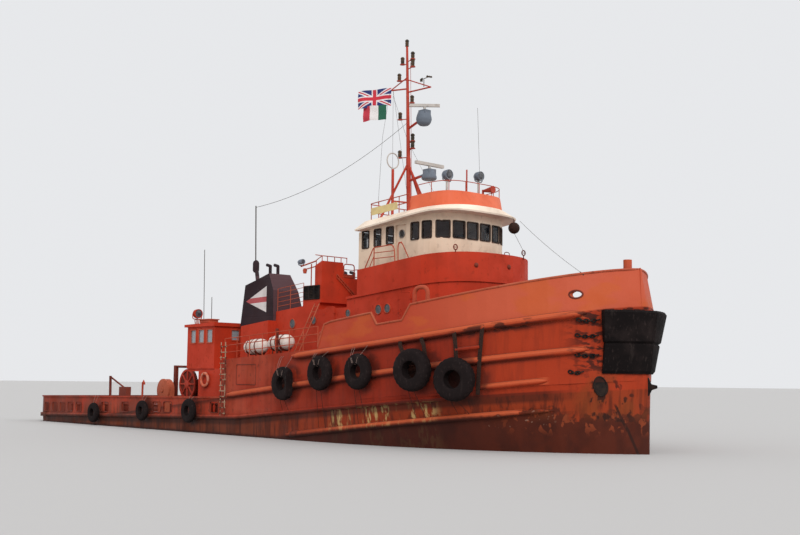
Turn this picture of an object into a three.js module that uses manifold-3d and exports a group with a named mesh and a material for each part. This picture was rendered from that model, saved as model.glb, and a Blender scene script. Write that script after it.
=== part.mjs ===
// Seagoing tug, about 39 m long, with twin funnels, twin screws and a raised forecastle.
// Frame: millimetres, +X to the bow, +Y to port, +Z up; the origin is on the centreline, amidships,
// at the surface of the water. Decks rise towards the bow, so most heights are a value at x = 0
// and a slope.
import * as THREE from "three";
import { mergeVertices } from "three/addons/utils/BufferGeometryUtils.js";
import Module from "manifold-3d";

const wasm = await Module();
wasm.setup();

// Driving dimensions
const hullHalfBeam = 4914;
const bowTip = 18930; // foremost point of the deck outline
const stem = 18950; // the stem below the deck, which is plumb
const bowShoulder = 7720; // where the sides start to close towards the bow
const sternEnd = -19600;
const sternCorner = 2100;
const keelDepth = 3950;
const plateThickness = 60; // bulwarks and cabin walls, frames and lining included
const wallThickness = 80;
const fitGap = 0.3;
const deckAft = { height: 915, slope: 0.022 }; // working deck, aft
const deckRaised = { height: 3270, slope: 0.053 }; // raft deck, beside the house
const foredeckKink = 9450;
const raisedStart = 50; // x where the hull side steps up to the raised deck

// Paint
const paint = {
  hull: new THREE.MeshStandardMaterial({ color: 0xc2452a, roughness: 0.7, metalness: 0.1 }),
  house: new THREE.MeshStandardMaterial({ color: 0xbf3d24, roughness: 0.6, metalness: 0.1 }),
  cream: new THREE.MeshStandardMaterial({ color: 0xe9dfcf, roughness: 0.6, metalness: 0.05 }),
  black: new THREE.MeshStandardMaterial({ color: 0x1d1e22, roughness: 0.7, metalness: 0.2 }),
  rubber: new THREE.MeshStandardMaterial({ color: 0x18191c, roughness: 0.95, metalness: 0 }),
  white: new THREE.MeshStandardMaterial({ color: 0xe6e4de, roughness: 0.5, metalness: 0 }),
  grey: new THREE.MeshStandardMaterial({ color: 0x6f757c, roughness: 0.5, metalness: 0.3 }),
  steel: new THREE.MeshStandardMaterial({ color: 0x5b4a42, roughness: 0.6, metalness: 0.6 }),
  bronze: new THREE.MeshStandardMaterial({ color: 0xa8854a, roughness: 0.4, metalness: 0.9 }),
};

const tug = new THREE.Group();

// Solids
function solid(geometry) {
  const bare = geometry.index ? geometry.toNonIndexed() : geometry.clone();
  for (const name of Object.keys(bare.attributes)) {
    if (name !== "position") bare.deleteAttribute(name);
  }
  const merged = mergeVertices(bare, 0.01);
  return new wasm.Manifold(new wasm.Mesh({
    numProp: 3,
    vertProperties: new Float32Array(merged.attributes.position.array),
    triVerts: new Uint32Array(merged.index.array),
  }));
}

function geometryOf(manifold) {
  const mesh = manifold.getMesh();
  const geometry = new THREE.BufferGeometry();
  geometry.setAttribute("position", new THREE.BufferAttribute(new Float32Array(mesh.vertProperties), 3));
  geometry.setIndex(new THREE.BufferAttribute(new Uint32Array(mesh.triVerts), 1));
  return geometry;
}

const union = (pieces) => pieces.reduce((whole, piece) => whole.add(piece));

function add(name, manifold, material) {
  const mesh = new THREE.Mesh(geometryOf(manifold), material);
  mesh.name = name;
  tug.add(mesh);
  return mesh;
}

// A box between two corners
function box(x0, y0, z0, x1, y1, z1) {
  const shape = new THREE.BoxGeometry(x1 - x0, y1 - y0, z1 - z0);
  return solid(shape.translate((x0 + x1) / 2, (y0 + y1) / 2, (z0 + z1) / 2));
}

// A round bar between two points
function bar(from, to, radius, sides = 10, radiusEnd = radius) {
  const a = new THREE.Vector3(...from);
  const b = new THREE.Vector3(...to);
  const shape = new THREE.CylinderGeometry(radiusEnd, radius, a.distanceTo(b), sides);
  const along = b.clone().sub(a).normalize();
  shape.applyQuaternion(new THREE.Quaternion().setFromUnitVectors(new THREE.Vector3(0, 1, 0), along));
  return solid(shape.translate(...a.add(b).multiplyScalar(0.5).toArray()));
}

// Triangles between rings of equally many points
function sideFaces(ringCount, count) {
  const index = [];
  for (let r = 0; r + 1 < ringCount; r += 1) {
    for (let i = 0; i < count; i += 1) {
      const j = (i + 1) % count;
      const a = r * count;
      const b = a + count;
      index.push(a + i, a + j, b + j, a + i, b + j, b + i);
    }
  }
  return index;
}

function indexed(rings, index) {
  const geometry = new THREE.BufferGeometry();
  geometry.setAttribute("position", new THREE.Float32BufferAttribute(rings.flat(2), 3));
  geometry.setIndex(index);
  return solid(geometry);
}

// A closed loft upwards through rings of equally many points
function loft(rings) {
  const count = rings[0].length;
  const index = sideFaces(rings.length, count);
  const cap = (ring, start, up) => {
    const flat = ring.map(([x, y]) => new THREE.Vector2(x, y));
    for (const [i, j, k] of THREE.ShapeUtils.triangulateShape(flat, [])) {
      if (up) index.push(start + i, start + j, start + k);
      else index.push(start + i, start + k, start + j);
    }
  };
  cap(rings[0], 0, false);
  cap(rings[rings.length - 1], (rings.length - 1) * count, true);
  return indexed(rings, index);
}

// A prism over an outline [[x, y], ...] (anticlockwise), between two height functions of x
function prism(outline, below, above) {
  return loft([
    outline.map(([x, y]) => [x, y, below(x)]),
    outline.map(([x, y]) => [x, y, above(x)]),
  ]);
}

// A plate cut in the XZ plane, [[x, z], ...], and given its thickness along Y
function sidePlate(profile, y0, y1) {
  const shape = new THREE.Shape(profile.map(([x, z]) => new THREE.Vector2(x, z)));
  const geometry = new THREE.ExtrudeGeometry(shape, { depth: y1 - y0, bevelEnabled: false });
  return solid(geometry.rotateX(Math.PI / 2).translate(0, y1, 0));
}

const rake = (height, slope, start = 0) => (x) => height + slope * (x - start);

// Outlines seen from above
// Half breadth that closes to a point at the bow: w (1 - t^n)^(1/m)
function bowHalf(x, half, shoulder, tip, n, m) {
  const t = Math.min(Math.max((x - shoulder) / (tip - shoulder), 0), 1);
  return half * (1 - t ** n) ** (1 / m);
}

// Half breadth of the stern, its corner rounded
function sternHalf(x, half, end, corner) {
  const t = Math.min(Math.max((end + corner - x) / corner, 0), 1);
  return half - corner * (1 - Math.sqrt(1 - t * t));
}

// Stations along the outline, close together at both ends
function stations(end, tip, count) {
  const xs = [];
  for (let i = 0; i <= count; i += 1) {
    const u = i / count;
    xs.push(end + (tip - end) * (0.5 - 0.5 * Math.cos(Math.PI * u)));
  }
  return xs;
}

// Half breadth of the deck outline, or of a line set in from it, and that of the knuckle below it
const deckHalf = (x, inset = 0) => Math.min(
  bowHalf(x, hullHalfBeam - inset, bowShoulder, bowTip - inset, 2.737, 1.5),
  sternHalf(x, hullHalfBeam - inset, sternEnd + inset, sternCorner - inset),
);
const knuckleHalf = (x) => Math.min(
  bowHalf(x, hullHalfBeam, bowShoulder, stem, 2.737, 1.22),
  sternHalf(x, hullHalfBeam, sternEnd, sternCorner),
);

// Heights along the boat
const deckKnots = [-21000, 0];
for (let x = 1050; x < 21500; x += 1050) deckKnots.push(x);

// A curved line made of straight stretches between the knots
function knotted(curve) {
  return (x) => {
    let i = deckKnots.findIndex((knot) => knot > x);
    if (i < 1) i = i === 0 ? 1 : deckKnots.length - 1;
    const [a, b] = [deckKnots[i - 1], deckKnots[i]];
    return curve(a) + ((curve(b) - curve(a)) * (x - a)) / (b - a);
  };
}
const aftDeckAt = rake(deckAft.height, deckAft.slope);
const hullTopAt = knotted((x) => (x < 0 ? aftDeckAt(x) : deckAft.height + 0.084 * x));
const pastKink = (x) => Math.max(x - foredeckKink, 0);
const raisedDeckAt = knotted((x) => deckRaised.height + deckRaised.slope * x
  + 0.031 * pastKink(x) + 5.3e-6 * pastKink(x) ** 2);

// What lies under a deck line, or over it
const under = (deckAt, gap = fitGap) => sidePlate([[deckKnots.at(-1), -9000], [deckKnots[0], -9000],
  ...deckKnots.map((x) => [x, deckAt(x) + gap])].reverse(), -7000, 7000);
const over = (deckAt) => sidePlate([[deckKnots.at(-1), 20000], [deckKnots[0], 20000],
  ...deckKnots.map((x) => [x, deckAt(x)])], -7000, 7000);
const standingOn = (deckAt, piece) => piece.subtract(under(deckAt));
const topRailAt = (x) => 3690 + 0.084 * (x - foredeckKink) + 5.3e-6 * pastKink(x) ** 2;
const secondRailAt = (x) => 2581 + 0.097 * (x - foredeckKink) + 2.1e-6 * pastKink(x) ** 2;
const thirdRailAt = (x) => 2285 + 0.13 * (x - 15300);
const lowRailAt = (x) => 190 + 0.107 * (x - 4880);
const rubBarAt = (x) => (x < 1250 ? 765 + 0.021 * x : 791 + 0.084 * (x - 1250));
const aftBulwarkTopAt = rake(1650, 0.0125);
const bowBulwarkTopAt = (x) => 4900 + 0.107 * (x - foredeckKink) + 5.6e-6 * pastKink(x) ** 2;

// Hull below the working deck: waterlines, from the keel up
// z, half breadth, aft end, stern run, bow tip, entrance length, n, m
const waterlines = [
  [-keelDepth, 300, -9200, 4000, 15200, 5200, 2, 1.6],
  [-3850, 2700, -9400, 9000, 16600, 12600, 2, 1.3],
  [-3100, 3900, -10800, 9600, 17900, 13600, 2, 1.25],
  [-2200, 4500, -12400, 9800, 18500, 14000, 2, 1.25],
  [-1500, 4700, -14600, 9400, 18850, 14000, 2.1, 1.2],
  [-1000, 4780, -18600, 7000, 18900, 14000, 2.1, 1.15],
  [-450, 4860, -19480, 2600, 18940, 13600, 2.2, 1.15],
  [0, 4890, -19580, 2150, 18950, 13200, 2.3, 1.15],
];
const floatLine = waterlines[waterlines.length - 1];
const ringSteps = 26;
const leastHalf = 25;

const bothSides = (right) => right.map(([x, y, z]) => [x, -y, z])
  .concat(right.slice().reverse());

function waterHalf(x, [, half, aft, run, tip, entrance, n, m]) {
  const fore = bowHalf(x, half, tip - entrance, tip, n, m);
  const t = Math.min(Math.max((aft + run - x) / run, 0), 1);
  return Math.min(fore, half * (0.55 + 0.45 * Math.sqrt(1 - t * t)));
}

const waterlineRing = (line) => bothSides(stations(line[2], line[4], ringSteps)
  .map((x) => [x, Math.max(waterHalf(x, line), leastHalf), line[0]]));

const deckRing = (height, from, to, inset = 0) => bothSides(stations(from, to, ringSteps)
  .map((x) => [x, Math.max(deckHalf(x, inset), leastHalf), height(x)]));
const knuckleRing = (height, from, to) => bothSides(stations(from, to, ringSteps)
  .map((x) => [x, Math.max(knuckleHalf(x), leastHalf), height(x)]));

// Half breadth of the side at any height above the water
function sideHalf(x, z) {
  const low = Math.min(Math.max(z / hullTopAt(x), 0), 1);
  const high = Math.min(Math.max((z - hullTopAt(x)) / (raisedDeckAt(x) - hullTopAt(x)), 0), 1);
  const knuckle = knuckleHalf(x);
  return waterHalf(x, floatLine) * (1 - low) + knuckle * (low - high) + deckHalf(x) * high;
}

// A loft along X of a few convex sections
function sectionLoft(rings) {
  const count = rings[0].length;
  const index = sideFaces(rings.length, count);
  const last = (rings.length - 1) * count;
  for (let i = 1; i + 1 < count; i += 1) {
    index.push(0, i + 1, i, last, last + i, last + i + 1);
  }
  return indexed(rings, index);
}

// A rub rail on both sides, following the hull: rounded outwards, and tapering over its last stretch
const railTaper = { length: 450, least: 0.3, root: 150 };

function sideRails(from, to, at, depth, height, steps) {
  const places = [...stations(from, to - railTaper.length, steps), to - railTaper.length / 2, to];
  return [-1, 1].map((side) => {
    const rings = places.map((x) => {
      const z = at(x);
      const size = Math.min(Math.max((to - x) / railTaper.length, railTaper.least), 1);
      const [d, h] = [depth * size, (height / 2) * size];
      const ring = [
        [-railTaper.root, -h], [0.65 * d, -0.8 * h], [d, -0.3 * h], [d, 0.3 * h], [0.65 * d, 0.8 * h],
        [-railTaper.root, h],
      ].map(([out, up]) => [x, side * (sideHalf(x, z) + out), z + up]);
      return side > 0 ? ring : ring.reverse();
    });
    return sectionLoft(rings);
  });
}

const mirrored = (piece) => piece.mirror([0, 1, 0]);

// The short rail at the bow crosses from the hull to the forecastle, and each of them carries its part
const crossingRails = () => sideRails(14600, 16750, thirdRailAt, 90, 140, 4);

// The rub bar goes round the stern
const rubBar = { depth: 110, height: 200, sternFrom: -17300 };
function sternBar() {
  const port = stations(sternEnd - rubBar.depth, rubBar.sternFrom, 10).map((x) => [x, deckHalf(x, -rubBar.depth)]);
  const outline = [...port.slice().reverse(), ...port.map(([x, y]) => [x, -y])];
  return prism(outline, (x) => rubBarAt(x) - rubBar.height / 2, (x) => rubBarAt(x) + rubBar.height / 2);
}

// Hull with its skeg, shaft tubes and their brackets
const screw = { x: -15000, y: 2150, z: -2760, radius: 1100, hubRadius: 190, hubLength: 520 };
const rudder = { axis: -16550, fore: 620, aft: 900, top: -1480, bottom: -3880, thick: 170, stockTop: -1290 };

function hull() {
  const rings = waterlines.map(waterlineRing);
  rings.push(knuckleRing(hullTopAt, sternEnd, stem));
  rings.push(knuckleRing((x) => hullTopAt(x) + 400, sternEnd, stem));
  const pieces = [loft(rings).subtract(over(hullTopAt)), box(-14600, -170, -keelDepth, -7600, 170, -1200)];
  const tubeEnd = screw.x + screw.hubLength / 2 + 60;
  for (const side of [-1, 1]) {
    const y = side * screw.y;
    pieces.push(bar([tubeEnd, y, screw.z], [-9500, y, screw.z], 150, 12));
    for (const spread of [-1, 1]) {
      pieces.push(bar([tubeEnd + 250, y, screw.z], [tubeEnd + 250, y + spread * 750, -1300], 80, 8));
    }
  }
  pieces.push(...sideRails(-17400, 13700, rubBarAt, rubBar.depth, rubBar.height, 14), sternBar());
  pieces.push(...sideRails(4900, 16750, lowRailAt, 115, 170, 10));
  pieces.push(...crossingRails().map((rail) => rail.subtract(over(hullTopAt))));
  return union(pieces);
}
add("hull", hull(), paint.hull);

// Raised forecastle
function forecastle() {
  const block = loft([
    knuckleRing((x) => hullTopAt(x) - 300, raisedStart, stem),
    deckRing((x) => raisedDeckAt(x) + 400, raisedStart, bowTip),
  ]);
  const pieces = [standingOn(hullTopAt, block).subtract(over(raisedDeckAt))];
  pieces.push(...sideRails(600, 17830, secondRailAt, 125, 190, 14));
  pieces.push(...sideRails(5260, 17830, topRailAt, 130, 200, 14).map((rail) => rail.subtract(over(raisedDeckAt))));
  pieces.push(...crossingRails().map((rail) => standingOn(hullTopAt, rail)));
  return union(pieces);
}
const forecastleBody = forecastle();
add("forecastle", forecastleBody, paint.hull);

// Bulwark round the working deck, with freeing ports
const freeingPorts = { // centre x, length; the same on both sides
  length: [[-17420, 560], [-16450, 560], [-15510, 600], [-14540, 640], [-13580, 640],
    [-10650, 700], [-8570, 700], [-5500, 760], [-4490, 760], [-520, 640]],
  sill: 40,
  height: 470,
};

function aftBulwark() {
  const foot = (x) => aftDeckAt(x) - 200;
  const capAt = (x) => aftBulwarkTopAt(x) - 70;
  const end = raisedStart - fitGap;
  const wall = loft([deckRing(foot, sternEnd, end), deckRing(aftBulwarkTopAt, sternEnd, end)]);
  const cap = loft([deckRing(capAt, sternEnd - 60, end, -60), deckRing(aftBulwarkTopAt, sternEnd - 60, end, -60)]);
  const inside = (height, inset, from, to) => loft([
    deckRing((x) => height(x) - 400, from + inset, to, inset),
    deckRing((x) => height(x) + 2000, from + inset, to, inset),
  ]);
  let body = wall.add(cap).subtract(inside(foot, plateThickness, sternEnd, end + 500));
  for (const [x, length] of freeingPorts.length) {
    const z = aftDeckAt(x) + freeingPorts.sill;
    body = body.subtract(box(x - length / 2, -6000, z, x + length / 2, 6000, z + freeingPorts.height));
  }
  return standingOn(hullTopAt, body);
}
add("bulwark_aft", aftBulwark(), paint.hull);

// Bulwark round the foredeck: it leans inboard at the bow, has a low stretch amidships and an oval
// fairlead on each bow
const fairlead = { x: 17500, z: 5410, length: 300, height: 240 };
const oval = ({ x, z, length, height }) => Array.from({ length: 16 }, (_, i) => {
  const turn = (Math.PI * i) / 8;
  return [x + (length / 2) * Math.cos(turn), z + (height / 2) * Math.sin(turn)];
});

function bowBulwark() {
  const start = 6820;
  const tipTop = bowTip - 230;
  const lean = (x) => 90 * Math.min(Math.max((x - 14000) / 4000, 0), 1);
  const ring = (height, tip, inset, from) => bothSides(stations(from, tip, ringSteps)
    .map((x, i) => [x, Math.max(deckHalf(stations(from, bowTip, ringSteps)[i], inset), leastHalf), height(x)]));
  const foot = (x) => raisedDeckAt(x) - 200;
  const outer = loft([ring(foot, bowTip, 0, start), ring(bowBulwarkTopAt, tipTop, lean(18000), start)]);
  const inner = loft([
    ring((x) => foot(x) - 300, bowTip - plateThickness, plateThickness, start - 500),
    ring((x) => bowBulwarkTopAt(x) + 300, tipTop - plateThickness - 80, plateThickness + 90, start - 500),
  ]);
  let body = outer.subtract(inner);
  const lowStretch = [[9900, 4950], [10260, 4500], [11520, 4620], [11870, 5180], [11870, 7000], [9900, 7000]];
  const aftSlope = [[6500, 3300], [6820, 3700], [7140, 4600], [7140, 7000], [6500, 7000]];
  for (const cut of [lowStretch, aftSlope, oval(fairlead)]) body = body.subtract(sidePlate(cut, -6000, 6000));
  return standingOn(raisedDeckAt, body);
}
add("bulwark_forward", bowBulwark(), paint.hull);

// Bow fender in two tiers, wrapped round the stem: height, how far it stands out, half width
const fenderTiers = [
  [2720, 60, 1375], [2820, 130, 1390], [3690, 240, 1405], [3760, 190, 1390], [3830, 280, 1435],
  [4800, 420, 1530], [4880, 360, 1515],
];

const clear = 3;

// The x of the side at a half breadth near the bow
function bowX(y, z) {
  let [low, high] = [bowShoulder, stem];
  for (let i = 0; i < 40; i += 1) {
    const middle = (low + high) / 2;
    if (sideHalf(middle, z) > Math.abs(y)) low = middle;
    else high = middle;
  }
  return low;
}

// A point that stands out from the bow by an offset
function bowPoint(y, z, offset) {
  const slope = (bowX(y + 20, z) - bowX(y - 20, z)) / 40;
  const tilt = Math.hypot(1, slope);
  return [bowX(y, z) + offset / tilt, y - (offset * slope) / tilt, z];
}

function bowFender() {
  const steps = 12;
  const root = -150;
  const whole = loft(fenderTiers.map(([z, offset, halfWidth]) => {
    const outer = [];
    const inner = [];
    for (let i = 0; i <= steps; i += 1) {
      const y = halfWidth * (2 * i / steps - 1);
      outer.push(bowPoint(y, z, offset));
      inner.push(bowPoint(y, z, root));
    }
    return outer.concat(inner.reverse());
  }));
  return [-clear, clear].reduce((rest, y) => rest.subtract(forecastleBody.translate([clear, y, 0])), whole);
}
add("bow_fender", bowFender(), paint.rubber);

// Tyres hung along the side: name, x, height, radius, width
const tyres = [
  ["aft_1", -11400, 650, 500, 240], ["aft_2", -6430, 880, 480, 240], ["aft_3", -2220, 980, 540, 240],
  ["middle_1", 5000, 2260, 680, 330], ["middle_2", 7380, 2680, 680, 330], ["middle_3", 9650, 2740, 680, 330],
  ["bow_1", 12400, 2800, 770, 480], ["bow_2", 14060, 2480, 770, 480],
];
const tyreBore = 0.36; // of the radius

function tyre(x, z, radius, width) {
  const bore = radius * tyreBore;
  const profile = [
    [bore, -width * 0.35], [radius * 0.85, -width / 2], [radius, -width * 0.25],
    [radius, width * 0.25], [radius * 0.85, width / 2], [bore, width * 0.35], [bore, -width * 0.35],
  ].map(([r, h]) => new THREE.Vector2(r, h));
  const ring = new THREE.LatheGeometry(profile, 16);
  const face = (at) => Math.max(sideHalf(at, z), sideHalf(at, z + radius * 0.9)) + 135;
  const slope = (face(x + 300) - face(x - 300)) / 600;
  ring.rotateZ(Math.atan(-slope));
  return solid(ring.translate(x, -face(x) - width / 2, z));
}
for (const [name, x, z, radius, width] of tyres) {
  const piece = tyre(x, z, radius, width);
  add(`tyre_${name}_starboard`, piece, paint.rubber);
  add(`tyre_${name}_port`, mirrored(piece), paint.rubber);
}

// Deckhouse on the working deck; the winch control cabin on top of it stands out aft, on two knees
const cabin = { aft: -4740, fore: -2370, half: 3800, floor: 2890, roof: 4860 };
const deckhouseAft = -3750;
const deckhouseHalf = 3750;
const floorSlab = 120;
const knee = { y: 2000, thick: 60, reach: 700, drop: 650 };
function deckhouse() {
  const end = raisedStart - fitGap;
  const pieces = [
    box(deckhouseAft, -deckhouseHalf, 0, end, deckhouseHalf, cabin.floor),
    box(cabin.aft + 60, -deckhouseHalf, cabin.floor - floorSlab, end, deckhouseHalf, cabin.floor),
  ];
  const brace = [[deckhouseAft + 20, cabin.floor - knee.drop], [deckhouseAft + 20, cabin.floor - 20],
    [deckhouseAft - knee.reach, cabin.floor - 20], [deckhouseAft - knee.reach, cabin.floor - floorSlab - 40]];
  for (const y of [-knee.y, knee.y]) pieces.push(sidePlate(brace, y, y + knee.thick));
  return standingOn(hullTopAt, union(pieces));
}
add("deckhouse", deckhouse(), paint.house);

// Walls with openings: each opening is [from, to, sill, head] along the wall
function wallX(x0, x1, y0, y1, z0, z1, openings) {
  let body = box(x0, y0, z0, x1, y1, z1);
  for (const [a, b, sill, head] of openings) body = body.subtract(box(a, y0 - 50, sill, b, y1 + 50, head));
  return body;
}

function wallY(x0, x1, y0, y1, z0, z1, openings) {
  let body = box(x0, y0, z0, x1, y1, z1);
  for (const [a, b, sill, head] of openings) body = body.subtract(box(x0 - 50, a, sill, x1 + 50, b, head));
  return body;
}

const cabinFloor = cabin.floor + fitGap;
const cabinTop = cabin.roof - fitGap;
const sill = 4090;
const head = 4720;
const cabinWindows = [[-4420, -3960], [-3730, -3250], [-3010, -2520]].map((w) => [...w, sill, head]);
const sideWall = wallX(cabin.aft, cabin.fore, -cabin.half, -cabin.half + wallThickness,
  cabinFloor, cabinTop, cabinWindows);
add("cabin_side_starboard", sideWall, paint.house);
add("cabin_side_port", mirrored(sideWall), paint.house);
const endFrom = -cabin.half + wallThickness + fitGap;
const cabinDoor = { y0: 1500, y1: 2200, sill: 2960, head: 4800, thick: 45 };
const frontWindows = [[-2900, -2450], [-900, -200], [200, 900], [2450, 2900]]
  .map((w) => [...w, sill + 130, head]);
const aftWindows = [[-3400, -2700], [-2400, -1700], [-1400, -700], [-350, 350], [2500, 3300]]
  .map((w) => [...w, sill - 150, head]);
add("cabin_front", wallY(cabin.fore - wallThickness, cabin.fore, endFrom, -endFrom,
  cabinFloor, cabinTop, frontWindows), paint.house);
add("cabin_aft", wallY(cabin.aft, cabin.aft + wallThickness, endFrom, -endFrom, cabinFloor, cabinTop,
  [...aftWindows, [cabinDoor.y0, cabinDoor.y1, cabinDoor.sill, cabinDoor.head]]), paint.house);
const roofOutline = [[-4890, -3900], [-2290, -3900], [-2290, 3900], [-4890, 3900]];
add("cabin_roof", prism(roofOutline, () => cabin.roof, rake(5080, 0.02)), paint.house);
const cabinHinge = { x: cabin.aft - 15, y: cabinDoor.y1 + 5, radius: 12 };
add("cabin_door", union([
  box(cabin.aft + 12, cabinDoor.y0 + 8, cabinDoor.sill + 8, cabin.aft + 12 + cabinDoor.thick,
    cabinDoor.y1 - 8, cabinDoor.head - 8),
  ...[3200, 4500].flatMap((z) => [
    bar([cabinHinge.x, cabinHinge.y, z - 60], [cabinHinge.x, cabinHinge.y, z + 60], cabinHinge.radius, 12),
    box(cabinHinge.x - 6, cabinHinge.y - 220, z - 35, cabinHinge.x + 6, cabinHinge.y, z + 35),
    box(cabinHinge.x - 6, cabinHinge.y - 220, z - 35, cabin.aft + 20, cabinHinge.y - 40, z + 35),
  ]),
]), paint.house);
add("cabin_console", union([
  box(-4400, -2400, cabinFloor, -3900, -500, 3750), box(-4400, -2400, 3700, -4050, -500, 3950),
]), paint.grey);

// Casing and the two funnels
const casingTopAt = rake(4940, 0.094);
const houseAft = 1000; // where the casing meets the main house
add("casing", standingOn(raisedDeckAt, prism(
  [[-1120, -3200], [houseAft, -3200], [houseAft, 3200], [-1120, 3200]],
  () => 2500, casingTopAt,
)), paint.house);

const funnelProfile = [[-1640, 0], [990, 0], [930, 6420], [580, 7190], [-490, 6920], [-1290, 6740]];
const funnelSides = { outer: 2900, innerTop: 1720, innerFoot: 1080, top: 7210, foot: 4900 };
function funnel() {
  const foot = (x) => casingTopAt(x) + fitGap;
  const profile = funnelProfile.map(([x, z]) => [x, z === 0 ? foot(x) : z]);
  const { outer, innerTop, innerFoot, top, foot: low } = funnelSides;
  const between = sidePlate([[-innerFoot, low - 500], [0, low - 500], [0, top + 500], [-innerTop, top + 500],
    [-innerTop, top], [-innerFoot, low]], -3000, 3000).rotate([0, 0, 90]);
  const pieces = [sidePlate(profile, -outer, -innerFoot).subtract(between)];
  pieces.push(bar([-1130, -2240, 6500], [-1450, -2240, 7900], 95, 10));
  for (const [x, top] of [[-250, 7650], [350, 7600]]) {
    pieces.push(bar([x, -2250, 6800], [x, -2250, top], 75, 8));
    pieces.push(bar([x, -2250, top - 30], [x - 260, -2250, top + 40], 75, 8));
  }
  return union(pieces);
}
add("funnel_starboard", funnel(), paint.black);
add("funnel_port", mirrored(funnel()), paint.black);

// Main house, bridge deck and its bulwark
const bridge = { half: 2830, shoulder: 9930, nose: 2190, power: 2.55, aft: 6700, slab: 100 };
const bridgeUnderside = rake(6036, 0.083, foredeckKink);
const bridgeDeckAt = (x) => bridgeUnderside(x) + bridge.slab;
const bridgeRailAt = rake(7166, 0.087, foredeckKink);

// An outline with straight sides and a rounded front: a superellipse of power n
function frontOutline(aft, shoulder, half, nose, n, count = 18) {
  const points = [[aft, -half]];
  for (let i = 0; i <= count; i += 1) {
    const t = Math.PI * (i / count - 0.5);
    points.push([
      shoulder + nose * Math.cos(t) ** (2 / n),
      half * Math.sign(t) * Math.abs(Math.sin(t)) ** (2 / n),
    ]);
  }
  points.push([aft, half]);
  return points;
}

const houseTopAt = rake(5360, 0.082);
const houseStep = { x: 4100, low: 5420 }; // the roof drops between the trunk and the bridge
const houseEnd = 14000;
const bridgeStart = 5990;
const houseRoofLine = [[0, 9000], [0, houseTopAt(0)], [houseStep.x, houseTopAt(houseStep.x)],
  [houseStep.x, houseStep.low], [bridgeStart, houseStep.low],
  [bridgeStart, bridgeUnderside(bridgeStart) - fitGap], [houseEnd, bridgeUnderside(houseEnd) - fitGap],
  [houseEnd, 9000]];
add("main_house", standingOn(raisedDeckAt, prism(
  frontOutline(houseAft + fitGap, bridge.shoulder, bridge.half - 60, bridge.nose - 60, bridge.power),
  () => 3000, () => 7000,
)).subtract(sidePlate(houseRoofLine, -4000, 4000)), paint.house);

function bridgeDeck() {
  const outline = (inset, aft) => frontOutline(aft, bridge.shoulder, bridge.half - inset,
    bridge.nose - inset, bridge.power);
  const slab = prism(outline(0, bridgeStart + 10), bridgeUnderside, bridgeDeckAt);
  const wall = prism(outline(0, bridge.aft), (x) => bridgeDeckAt(x) - 50, bridgeRailAt);
  const room = prism(outline(plateThickness, bridge.aft - 300), bridgeDeckAt, (x) => bridgeRailAt(x) + 500);
  return slab.add(wall.subtract(room));
}
add("bridge_deck", bridgeDeck(), paint.house);

// Wheelhouse: side walls, rounded front, aft wall, roof
const wheel = { aft: 6030, half: 2200, shoulder: 9110, nose: 1790, power: 3.09, split: 9150 };
const brimAt = rake(8916, 0.093, foredeckKink);
const wheelFoot = (x) => bridgeDeckAt(x) + fitGap;
const wheelTop = (x) => brimAt(x) - fitGap;
const sillAt = rake(8004, 0.037, foredeckKink);
const headAt = rake(8688, 0.029, foredeckKink);

function wheelhouseShell() {
  const outline = (inset) => frontOutline(wheel.aft + inset, wheel.shoulder, wheel.half - inset,
    wheel.nose - inset, wheel.power, 20);
  return prism(outline(0), wheelFoot, wheelTop)
    .subtract(prism(outline(wallThickness), (x) => wheelFoot(x) - 200, (x) => wheelTop(x) + 200));
}

// A window cut through the wall: centre x, y, heading of its outward normal in degrees, width
function windowCut(x, y, heading, width) {
  const depth = 500;
  const piece = new THREE.BoxGeometry(depth, width, headAt(x) - sillAt(x));
  piece.rotateZ(THREE.MathUtils.degToRad(heading)).translate(x, y, (headAt(x) + sillAt(x)) / 2);
  return solid(piece);
}

const slideDoor = { x0: 8320, x1: 8970, sill: 6200, head: 8680, thick: 40, lap: 30 };
const doorPort = { x: 8645, z: 8310, radius: 150 };
const wheelWindows = [ // x, y, heading, width
  [6480, -2200, -90, 420], [7240, -2200, -90, 420], [8010, -2200, -90, 430],
  [9490, -2190, -87, 430], [10060, -2080, -69, 400], [10560, -1680, -38, 560],
  [10830, -1060, -11, 560], [10895, -360, -2, 600],
];

let cutShell = wheelhouseShell();
for (const [x, y, heading, width] of wheelWindows) {
  for (const side of [1, -1]) cutShell = cutShell.subtract(windowCut(x, side * y, side * heading, width));
}
for (const side of [-1, 1]) {
  const y = side * wheel.half;
  cutShell = cutShell.subtract(box(slideDoor.x0, y - 200, slideDoor.sill, slideDoor.x1, y + 200, slideDoor.head));
}
const region = { y: 3000, bottom: 5000, top: 12000, aft: 5800, fore: 13000 };
const sideFrom = wheel.aft + wallThickness + fitGap;
const sideRegion = box(sideFrom, -region.y, region.bottom, wheel.split, 0, region.top);
const trackFoot = slideDoor.head + 25;
const doorTrack = box(7660, -wheel.half + wallThickness - 10, trackFoot, wheel.split,
  -wheel.half + wallThickness + 60, trackFoot + 30);
const wheelSide = cutShell.intersect(sideRegion).add(doorTrack);
add("wheelhouse_side_starboard", wheelSide, paint.cream);
add("wheelhouse_side_port", mirrored(wheelSide), paint.cream);
add("wheelhouse_front", cutShell.intersect(
  box(wheel.split + fitGap, -region.y, region.bottom, region.fore, region.y, region.top),
), paint.cream);
const rearWindows = { centres: [-1500, -500, 500, 1500], half: 330, sill: 7800, head: 8400 };
let aftWall = cutShell.intersect(
  box(region.aft, -region.y, region.bottom, wheel.aft + wallThickness, region.y, region.top),
);
for (const y of rearWindows.centres) {
  aftWall = aftWall.subtract(box(region.aft, y - rearWindows.half, rearWindows.sill, wheel.split,
    y + rearWindows.half, rearWindows.head));
}
add("wheelhouse_aft", aftWall, paint.cream);

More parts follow.
